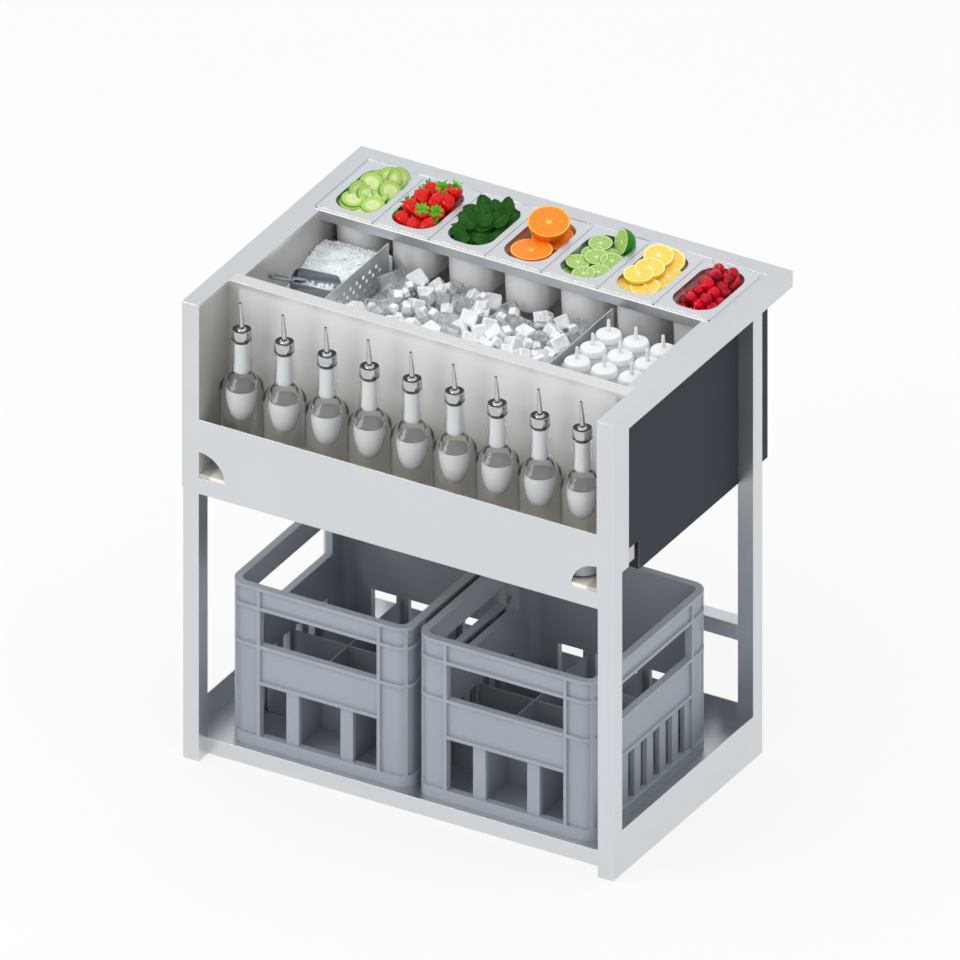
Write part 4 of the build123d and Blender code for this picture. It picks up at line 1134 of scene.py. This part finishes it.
class STATION_OT_strawberries(bpy.types.Operator):
    """Fills the second pan with strawberries"""
    bl_idname = "station.strawberries"
    bl_label = "Strawberries"

    def execute(self, context):
        length = sizes().strawberry
        unit = length / 2
        rings = [(0.12, -1.0), (0.3, -0.92), (0.52, -0.68), (0.72, -0.3), (0.84, 0.08), (0.88, 0.4),
                 (0.8, 0.68), (0.6, 0.86), (0.34, 0.9), (0.14, 0.86)]
        berry = turned([(r * unit / MM, z * unit / MM) for r, z in rings], 24)
        coat(remember(berry, lambda at: at / unit), strawberry_flesh())
        blade = coat(leaf(0.88 * unit, 0.36, 0.3, 5), calyx_green())
        count = 9
        blades = [laid(blade, (0, 0, 0.86 * unit), (8 + 20 * (k % 3), 0, 360 / count * k))
                  for k in range(count)]
        path = [(0, 0, 0.8 * unit / MM), (0.5, 0, unit / MM), (1.5, 0, 1.2 * unit / MM)]
        stalk = coat(remember(drawn(path, [1.1, 0.9, 0.8], 8), lambda at: at / unit), calyx_green())
        whole = joined([berry, *blades, stalk])
        places = [(-22, -44, -10, -80, 70), (0, -52, -11, -98, 20), (22, -42, -10, -75, -40),
                  (-22, -16, 0, -72, 60), (0, -20, -2, 30, 30), (22, -8, -4, 38, 20), (-20, 14, 5, -80, 30),
                  (6, 16, 4, -84, -20), (22, 26, 1, -70, 40), (-18, 44, 3, -76, 50), (2, 46, 6, 14, 24),
                  (20, 52, 6, -16, -20)]
        chance = random.Random(21)
        for x in (-20, 2, 24):
            for y in (-48, -16, 16, 48):
                depth = -30 + chance.uniform(-3, 3)
                places.append((x, y, depth, chance.uniform(-130, -60), chance.uniform(0, 360)))
        drop(blade)
        fit(heap(2, whole, 17, places), "strawberry_heap", "strawberry", "pan_2", "strawberries")
        return {"FINISHED"}


class STATION_OT_mint(bpy.types.Operator):
    """Fills the third pan with mint leaves"""
    bl_idname = "station.mint"
    bl_label = "Mint leaves"

    def execute(self, context):
        blade = coat(leaf(sizes().mint, 0.7, 0.5, 10, 0.55), mint_green())
        rim = pan_place(3)
        chance = random.Random(33)
        leaves = []
        for rise in (-26, -19, -13):
            for line in range(6):
                for column in range(3):
                    x = (column - 1) * 20 + chance.uniform(-6, 6)
                    y = (line - 2.5) * 20 + chance.uniform(-6, 6)
                    x, y = kept(x, y, 8)
                    turn = 30 - 1.2 * x + chance.uniform(-55, 55)
                    lean = (chance.uniform(12, 40), chance.uniform(-30, 30), turn)
                    place = rim + spot(x, y, rise + 0.06 * y)
                    leaves.append(laid(blade, place, lean, chance.uniform(0.55, 0.8)))
        # The leaves that show: place, spin about the stalk, lean and scale.
        shown = ((-12, 38, -8, 22, 58, 1.0), (17, 44, -6, -8, 66, 0.9), (6, 34, -4, 8, 46, 0.9),
                 (-4, 10, 0, 14, 34, 1.0), (-10, -18, -2, -62, 36, 1.0), (-8, -16, -2, 42, 46, 1.0),
                 (-18, 0, -4, 70, 44, 0.9), (-6, -38, -6, 108, 30, 0.8), (0, -40, -6, -100, 26, 0.8),
                 (12, 4, -2, -48, 44, 1.0), (20, 26, -5, -58, 56, 0.9), (-16, 20, -3, 56, 50, 0.95),
                 (4, -12, 1, -14, 30, 0.9), (-16, -34, -6, 64, 40, 0.85))
        for x, y, z, spin, lean, scale in shown:
            spun = laid(blade, (0, 0, 0), (0, 0, spin))
            leaves.append(laid(spun, rim + spot(x, y, z), (lean, 0, 30), scale))
            drop(spun)
        drop(blade)
        fit(joined(leaves), "mint_bunch", "mint", "pan_3", "mint_leaves", angle=60)
        return {"FINISHED"}


class STATION_OT_oranges(bpy.types.Operator):
    """Fills the fourth pan with halves of orange"""
    bl_idname = "station.oranges"
    bl_label = "Orange halves"

    def execute(self, context):
        places = [(0, -29, -3.5, 0, 8), (3, 37, -11, 9, 40), (0, 29, 21.4, 17, 30), (0, 4, -36, 2, 70)]
        halves = heap(4, half_fruit(sizes().orange), 0, places)
        fit(coat(halves, orange_fruit()), "orange_half_set", "orange", "pan_4", "orange_halves")
        return {"FINISHED"}


class STATION_OT_limes(bpy.types.Operator):
    """Fills the fifth pan with slices of lime and a standing half"""
    bl_idname = "station.limes"
    bl_label = "Lime slices"

    def execute(self, context):
        radius = sizes().lime
        places = flat_bed(17, 46, -19, 51) + flat_bed(15, 42, -28, 52)
        places += [(-22, 50, -6, 8, 30), (-24, -22, -8, 8, 60), (-3, 5, -6, 9, 40), (22, -31, -10, 7, 10),
                   (2, -46, -11, 5, 0), (26, 11, -9, 12, 70), (-18, 20, -10, 7, 0), (12, 30, -11, 9, 120)]
        slices = heap(5, cut_slice(radius, 5 * MM), radius / MM * 0.75, places)
        half = half_fruit(radius * 1.1, 1.1)
        stood = laid(half, pan_place(5) + spot(17, 54, 6), (69.5, 0, -38))
        drop(half)
        fit(coat(joined([slices, stood]), lime_fruit()), "lime_heap", "lime", "pan_5", "lime_slices")
        return {"FINISHED"}


class STATION_OT_lemons(bpy.types.Operator):
    """Fills the sixth pan with slices of lemon"""
    bl_idname = "station.lemons"
    bl_label = "Lemon slices"

    def execute(self, context):
        radius = sizes().lemon
        places = flat_bed(14, 42, -22, 61) + flat_bed(12, 40, -32, 62)
        places += [(4, -32, -12, 5, 0), (-26, -35, -13, 6, 40), (24, -14, -13, 8, 100), (26, 18, -12, 9, 60),
                   (-19, -14, -2, 5, 30), (-11, 10, 0, 8, 30), (4, 56, -2, 22, 36), (-14, 45, 5, 16, 30)]
        slices = heap(6, cut_slice(radius, 5.5 * MM), radius / MM * 0.75, places)
        fit(coat(slices, lemon_fruit()), "lemon_heap", "lemon", "pan_6", "lemon_slices")
        return {"FINISHED"}


class STATION_OT_cherries(bpy.types.Operator):
    """Fills the seventh pan with cherries on their stems"""
    bl_idname = "station.cherries"
    bl_label = "Cherries"

    def execute(self, context):
        unit = sizes().cherry / MM
        rings = [(0.12, -0.97), (0.42, -0.9), (0.74, -0.66), (0.95, -0.28), (1.0, 0.1), (0.93, 0.46),
                 (0.74, 0.74), (0.48, 0.88), (0.26, 0.86), (0.1, 0.76)]
        fruit = coat(turned([(r * unit, z * unit) for r, z in rings], 24), cherry_skin())
        path = [(0, 0, 0.72 * unit), (0.6, 0, unit + 3), (2.2, 0.5, unit + 8), (5, 1.2, unit + 11.5),
                (9, 2.4, unit + 14)]
        stem = coat(drawn(path, [0.6, 0.5, 0.45, 0.5, 0.8], 8), cherry_stem())
        stemmed = joined([laid(fruit, (0, 0, 0)), stem])
        rim = pan_place(7)
        chance = random.Random(72)
        pitch = 23
        # From the bottom up: columns across the pan, cherries in each and height under the rim.
        layers = (((-26, 0, 26), 6, -30), ((-24, 0, 24), 6, -14), ((-13, 13), 5, -1), ((0,), 2, 8))
        pieces = []
        for layer, (columns, lines, rise) in enumerate(layers):
            for column in columns:
                for line in range(lines):
                    y = (line - (lines - 1) / 2) * pitch + chance.uniform(-2, 2)
                    y += 3 * (column > 0) + 12 * (layer > 1)
                    x, y = kept(column + chance.uniform(-2, 2), y, unit)
                    place = rim + spot(x, y, rise + 0.07 * y + chance.uniform(-2, 2))
                    piece = stemmed if layer > 0 and chance.random() < 0.5 else fruit
                    lean = (chance.uniform(-40, 40), chance.uniform(-40, 40), chance.uniform(0, 360))
                    pieces.append(laid(piece, place, lean, chance.uniform(0.92, 1.04)))
        drop(fruit, stemmed)
        fit(joined(pieces), "cherry_heap", "cherry", "pan_7", "cherries", angle=60)
        return {"FINISHED"}


class STATION_OT_ice_cubes(bpy.types.Operator):
    """Fills the middle of the well with ice cubes that fall away towards the pans"""
    bl_idname = "station.ice_cubes"
    bl_label = "Ice cubes"
    # Columns across, lines from front to back, and height in millimetres of each layer.
    LAYERS = ((13, 8, -22), (12, 7, 2))
    GAPS = 0.12
    # Share of white cubes at the front, and how much of it is lost towards the back.
    WHITE_FRONT = 0.9
    WHITE_LOSS = 0.6
    # The ice lies this deep under the pans' rims, level at first, and then falls away.
    DEPTH = 74 * MM
    LEVEL_PART = 100 * MM
    FALL = 10 * MM
    BED_DEPTH = 20 * MM
    SMALL_CUBES = 70
    SMALL_MARGIN = 14 * MM

    def execute(self, context):
        edge = sizes().cube
        margin = 0.6 * edge
        low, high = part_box("ice_cubes")
        front = pan_place(1).z - self.DEPTH

        def height(_, y):
            ease = (y - low[1] - self.LEVEL_PART) / (high[1] - low[1] - self.LEVEL_PART)
            return front - self.FALL * min(1.0, max(0.0, ease))

        chance = random.Random(5)

        def near(axis, share):
            """A place along one side of the well, a little off its share of the way."""
            at = low[axis] + margin + (high[axis] - low[axis] - 2 * margin) * share
            return min(max(at + chance.uniform(-5, 5) * MM, low[axis] + margin), high[axis] - margin)

        patterns = [self.cube(edge, seed) for seed in range(5)]
        clear = []
        white = []
        for layer, (columns, lines, rise) in enumerate(self.LAYERS):
            for column in range(columns):
                for line in range(lines):
                    x = near(0, column / (columns - 1))
                    y = near(1, line / (lines - 1))
                    if layer and chance.random() < self.GAPS:
                        continue
                    turn = [chance.uniform(-45, 45) for _ in range(2)] + [chance.uniform(0, 90)]
                    place = Vector((x, y, height(x, y) + (rise + chance.uniform(-5, 5)) * MM))
                    share = self.WHITE_FRONT - self.WHITE_LOSS * line / lines
                    pile = white if chance.random() < share else clear
                    pile.append(laid(chance.choice(patterns), place, turn, chance.uniform(0.75, 1.0)))
        for _ in range(self.SMALL_CUBES):
            x = chance.uniform(low[0] + self.SMALL_MARGIN, high[0] - self.SMALL_MARGIN)
            y = low[1] + self.SMALL_MARGIN + (high[1] - low[1] - 30 * MM) * chance.random() ** 1.6
            turn = [chance.uniform(0, 90) for _ in range(3)]
            place = Vector((x, y, height(x, y) + chance.uniform(8, 18) * MM))
            white.append(laid(chance.choice(patterns), place, turn, chance.uniform(0.3, 0.55)))
        drop(*patterns)
        for pile, finish, name in ((clear, clear_ice, "clear_ice_cubes"),
                                   (white, white_ice, "white_ice_cubes")):
            fit(coat(joined(pile), finish()), name, "ice", "station", "ice_cubes", angle=30)
        bed = ice_bed(low, high, lambda x, y: height(x, y) - self.BED_DEPTH, 30, 5)
        fit(coat(bed, crushed_ice_white()), "ice_cube_bed", "ice", "station", "ice_cubes")
        return {"FINISHED"}

    def cube(self, edge, seed):
        """A cube with eased edges and dished faces, broken a little out of square."""
        pick()
        bpy.ops.mesh.primitive_cube_add(size=edge)
        cube = rounded_edges(roughened(bpy.context.object, edge * 0.1, seed + 3), edge * 0.13, 3)
        shape(cube)
        choose(cube, "faces", lambda face: face.calc_area() > (edge * 0.5) ** 2)
        bpy.ops.mesh.inset(thickness=edge * 0.14, use_individual=True)
        bpy.ops.transform.shrink_fatten(value=-sizes().dish)
        return leave()


def ice_bed(low, high, height, cells, seed):
    """A block of ice whose top is a rough grid raised to a height at each point."""
    wide = high[0] - low[0]
    deep = high[1] - low[1]
    pick()
    bpy.ops.mesh.primitive_grid_add(x_subdivisions=cells, y_subdivisions=round(cells * deep / wide), size=1.0)
    bed = bpy.context.object
    bed.scale = (wide, deep, 1)
    bed.location = middle(low, high, low[2])
    shape(settled(), "VERT", whole=True)
    extrude(0, 0, 10 * MM)
    mesh = bmesh.from_edit_mesh(bed.data)
    for vertex in mesh.verts:
        if vertex.co.z > low[2] + 5 * MM:
            rough = noise.fractal(vertex.co * 55 + Vector((seed, 0, 0)), 1.0, 2.0, 3) * 4 * MM
            vertex.co.z = height(vertex.co.x, vertex.co.y) + rough
    bmesh.update_edit_mesh(bed.data)
    return done()


def ice_chip():
    """One rough chip of ice."""
    pick()
    bpy.ops.mesh.primitive_ico_sphere_add(subdivisions=1, radius=sizes().chip / 2)
    return roughened(bpy.context.object, 1.0 * MM, 4)


class STATION_OT_crushed_ice(bpy.types.Operator):
    """Heaps crushed ice in the left bay of the well"""
    bl_idname = "station.crushed_ice"
    bl_label = "Crushed ice"
    CHIPS = 1900
    MARGIN = 3 * MM

    def execute(self, context):
        low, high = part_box("crushed_ice")
        scoop_low, scoop_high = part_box("ice_scoop")

        def ease(value, start, end):
            share = min(1.0, max(0.0, (value - start) / (end - start)))
            return share * share * (3 - 2 * share)

        def height(x, y):
            back = ease(y, scoop_high[1] - 10 * MM, high[1] - 20 * MM)
            left = 1 - ease(x, low[0], low[0] + 60 * MM)
            front = 1 - ease(y, low[1], low[1] + 70 * MM)
            heap_up = 14 * MM * back
            fall = 16 * MM * left * (1 - 0.7 * back) + 16 * MM * front * left
            return scoop_low[2] - 3 * MM + heap_up - fall

        chips = [ice_bed(low, high, height, 90, 9)]
        chip = ice_chip()
        chance = random.Random(14)
        for _ in range(self.CHIPS):
            x, y = (chance.uniform(low[axis] + self.MARGIN, high[axis] - self.MARGIN) for axis in (0, 1))
            turn = [chance.uniform(0, 360) for _ in range(3)]
            bulk = chance.uniform(0.5, 1.5) ** 1.5
            place = Vector((x, y, height(x, y) + chance.uniform(-1, 2) * MM))
            chips.append(laid(chip, place, turn, bulk))
        drop(chip)
        heaped = coat(joined(chips), crushed_ice_white())
        fit(heaped, "crushed_ice_heap", "ice", "station", "crushed_ice", angle=20)
        return {"FINISHED"}


class STATION_OT_scoop(bpy.types.Operator):
    """Makes the ice scoop lying on the crushed ice"""
    bl_idname = "station.scoop"
    bl_label = "Ice scoop"
    RADIUS = 27 * MM
    LENGTH = 76 * MM
    # Where the bowl's middle lies in plan, from the station's middle and its front edge.
    BOWL_X = -289 * MM
    BOWL_Y = 231 * MM
    TURN = 14
    CHIPS = 220

    def execute(self, context):
        low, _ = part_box("ice_scoop")
        lie = Matrix.Translation((self.BOWL_X, CAD_BOX[0][1] + self.BOWL_Y, low[2] + self.RADIUS))
        lie @= Matrix.Rotation(radians(self.TURN), 4, "Z")
        scoop = joined([self.bowl(), self.handle()])
        scoop.data.transform(lie)
        fit(coat(scoop, scoop_steel()), "scoop_shell", "stainless", "scoop", "ice_scoop", angle=50)
        held = self.held()
        held.data.transform(lie)
        fit(coat(held, crushed_ice_white()), "scoop_ice", "ice", "scoop", "ice_scoop", angle=20)
        return {"FINISHED"}

    def bowl(self):
        """A round trough of sheet with a domed back end, cut off slanting at its mouth."""
        pick()
        bpy.ops.mesh.primitive_cylinder_add(vertices=40, radius=self.RADIUS, depth=self.LENGTH,
                                            rotation=(0, radians(90), 0))
        bowl = settled()
        shape(bowl)
        choose(bowl, "faces", lambda face: face.normal.x > UPRIGHT)
        bpy.ops.mesh.delete(type="FACE")
        choose(bowl, "faces", lambda face: face.normal.x < -UPRIGHT)
        for share, dome in ((0.2, 5 * MM), (0.3, 2 * MM)):
            bpy.ops.mesh.inset(thickness=self.RADIUS * share)
            bpy.ops.transform.translate(value=(-dome, 0, 0))
        brim = ((0, 0, 6 * MM), (0.1, 0, 1))
        mouth = ((self.LENGTH / 2 - 4 * MM, 0, -8 * MM), (0.85, 0, 0.53))
        for point, normal in (brim, mouth):
            bpy.ops.mesh.select_all(action="SELECT")
            bpy.ops.mesh.bisect(plane_co=point, plane_no=normal, clear_outer=True, use_fill=False)
        return applied(done(), "SOLIDIFY", thickness=1.2 * MM)

    def handle(self):
        """A long loop of rod behind a short tapered bar on the bowl's end."""
        pick()
        bpy.ops.mesh.primitive_torus_add(major_radius=6.2 * MM, minor_radius=2.4 * MM, major_segments=32,
                                         minor_segments=12)
        loop = bpy.context.object
        shape(loop, "VERT")
        choose(loop, "verts", lambda v: v.co.x > 0.1 * MM)
        bpy.ops.transform.translate(value=(30 * MM, 0, 0))
        leave()
        bar = drawn([(0, 0, 0), (0, 0, 10), (0, 0, 22), (0, 0, 30)], [3.2, 4.2, 4.6, 3.0], 16)
        end = -self.LENGTH / 2
        pieces = [laid(loop, Vector((end - 38 * MM, 0, 0))),
                  laid(bar, Vector((end - 12 * MM, 0, 0)), (0, 90, 0))]
        drop(loop, bar)
        return joined(pieces)

    def held(self):
        """Chips of ice lying in the bowl."""
        chip = ice_chip()
        chance = random.Random(8)
        chips = []
        for _ in range(self.CHIPS):
            x = chance.uniform(-0.4, 0.3) * self.LENGTH
            y = chance.uniform(-0.72, 0.72) * self.RADIUS
            z = -self.RADIUS * 0.55 + chance.uniform(-4, 4) * MM
            turn = [chance.uniform(0, 360) for _ in range(3)]
            chips.append(laid(chip, Vector((x, y, z)), turn, chance.uniform(0.8, 2.0)))
        drop(chip)
        return joined(chips)


class STATION_OT_trim(bpy.types.Operator):
    """Adds the bead along the deck's front edge and the studs between the pans"""
    bl_idname = "station.trim"
    bl_label = "Deck trim"

    def execute(self, context):
        boxes = [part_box(f"garnish_pan_{index}") for index in PANS]
        left = boxes[0][0][0]
        right = boxes[-1][1][0]
        top = boxes[0][1][2]
        row_front = boxes[0][0][1] - 2.5 * MM
        span = (right - left) / MM
        beads = []
        for radius, forward, sink in ((2.2, 6.5, 1.0), (0.9, 0.6, 0.0)):
            rod = drawn([(0, 0, 0), (0, 0, span)], [radius, radius])
            beads.append(laid(rod, Vector((left, row_front - forward * MM, top - sink * MM)), (0, 90, 0)))
            drop(rod)
        fit(coat(joined(beads), bead_steel()), "deck_bead", "stainless", "station")
        stud = turned([(1.9, -0.3), (1.9, 0.3), (1.4, 0.7)], 16)
        edges = [box[0][0] for box in boxes] + [right]
        studs = joined([laid(stud, Vector((x, row_front - 1.8 * MM, top))) for x in edges])
        drop(stud)
        fit(coat(studs, plug_plastic()), "deck_studs", "stainless", "station")
        return {"FINISHED"}


class STATION_PT_panel(bpy.types.Panel):
    """Lists the steps that dress the station, and the values that they use"""
    bl_idname = "STATION_PT_panel"
    bl_label = "Cocktail station"
    bl_space_type = "VIEW_3D"
    bl_region_type = "UI"
    bl_category = "Station"

    def draw(self, context):
        for step in STEPS:
            self.layout.operator(step.bl_idname)
        for group in (context.scene.station_sizes, context.scene.station_colours):
            box = self.layout.box()
            for name in group.__annotations__:
                box.prop(group, name)


STEPS = (STATION_OT_stage, STATION_OT_metalwork, STATION_OT_speed_bottles, STATION_OT_squeeze_bottles,
         STATION_OT_cucumber, STATION_OT_strawberries, STATION_OT_mint, STATION_OT_oranges, STATION_OT_limes,
         STATION_OT_lemons, STATION_OT_cherries, STATION_OT_ice_cubes, STATION_OT_crushed_ice,
         STATION_OT_scoop, STATION_OT_trim)
CLASSES = (StationSizes, StationColours, *STEPS, STATION_PT_panel)


def register():
    for entry in CLASSES:
        bpy.utils.register_class(entry)
    bpy.types.Scene.station_sizes = bpy.props.PointerProperty(type=StationSizes)
    bpy.types.Scene.station_colours = bpy.props.PointerProperty(type=StationColours)


def unregister():
    del bpy.types.Scene.station_colours
    del bpy.types.Scene.station_sizes
    for entry in reversed(CLASSES):
        bpy.utils.unregister_class(entry)


def main():
    register()
    for step in STEPS:
        group, name = step.bl_idname.split(".")
        getattr(getattr(bpy.ops, group), name)()


if __name__ == "__main__":
    main()
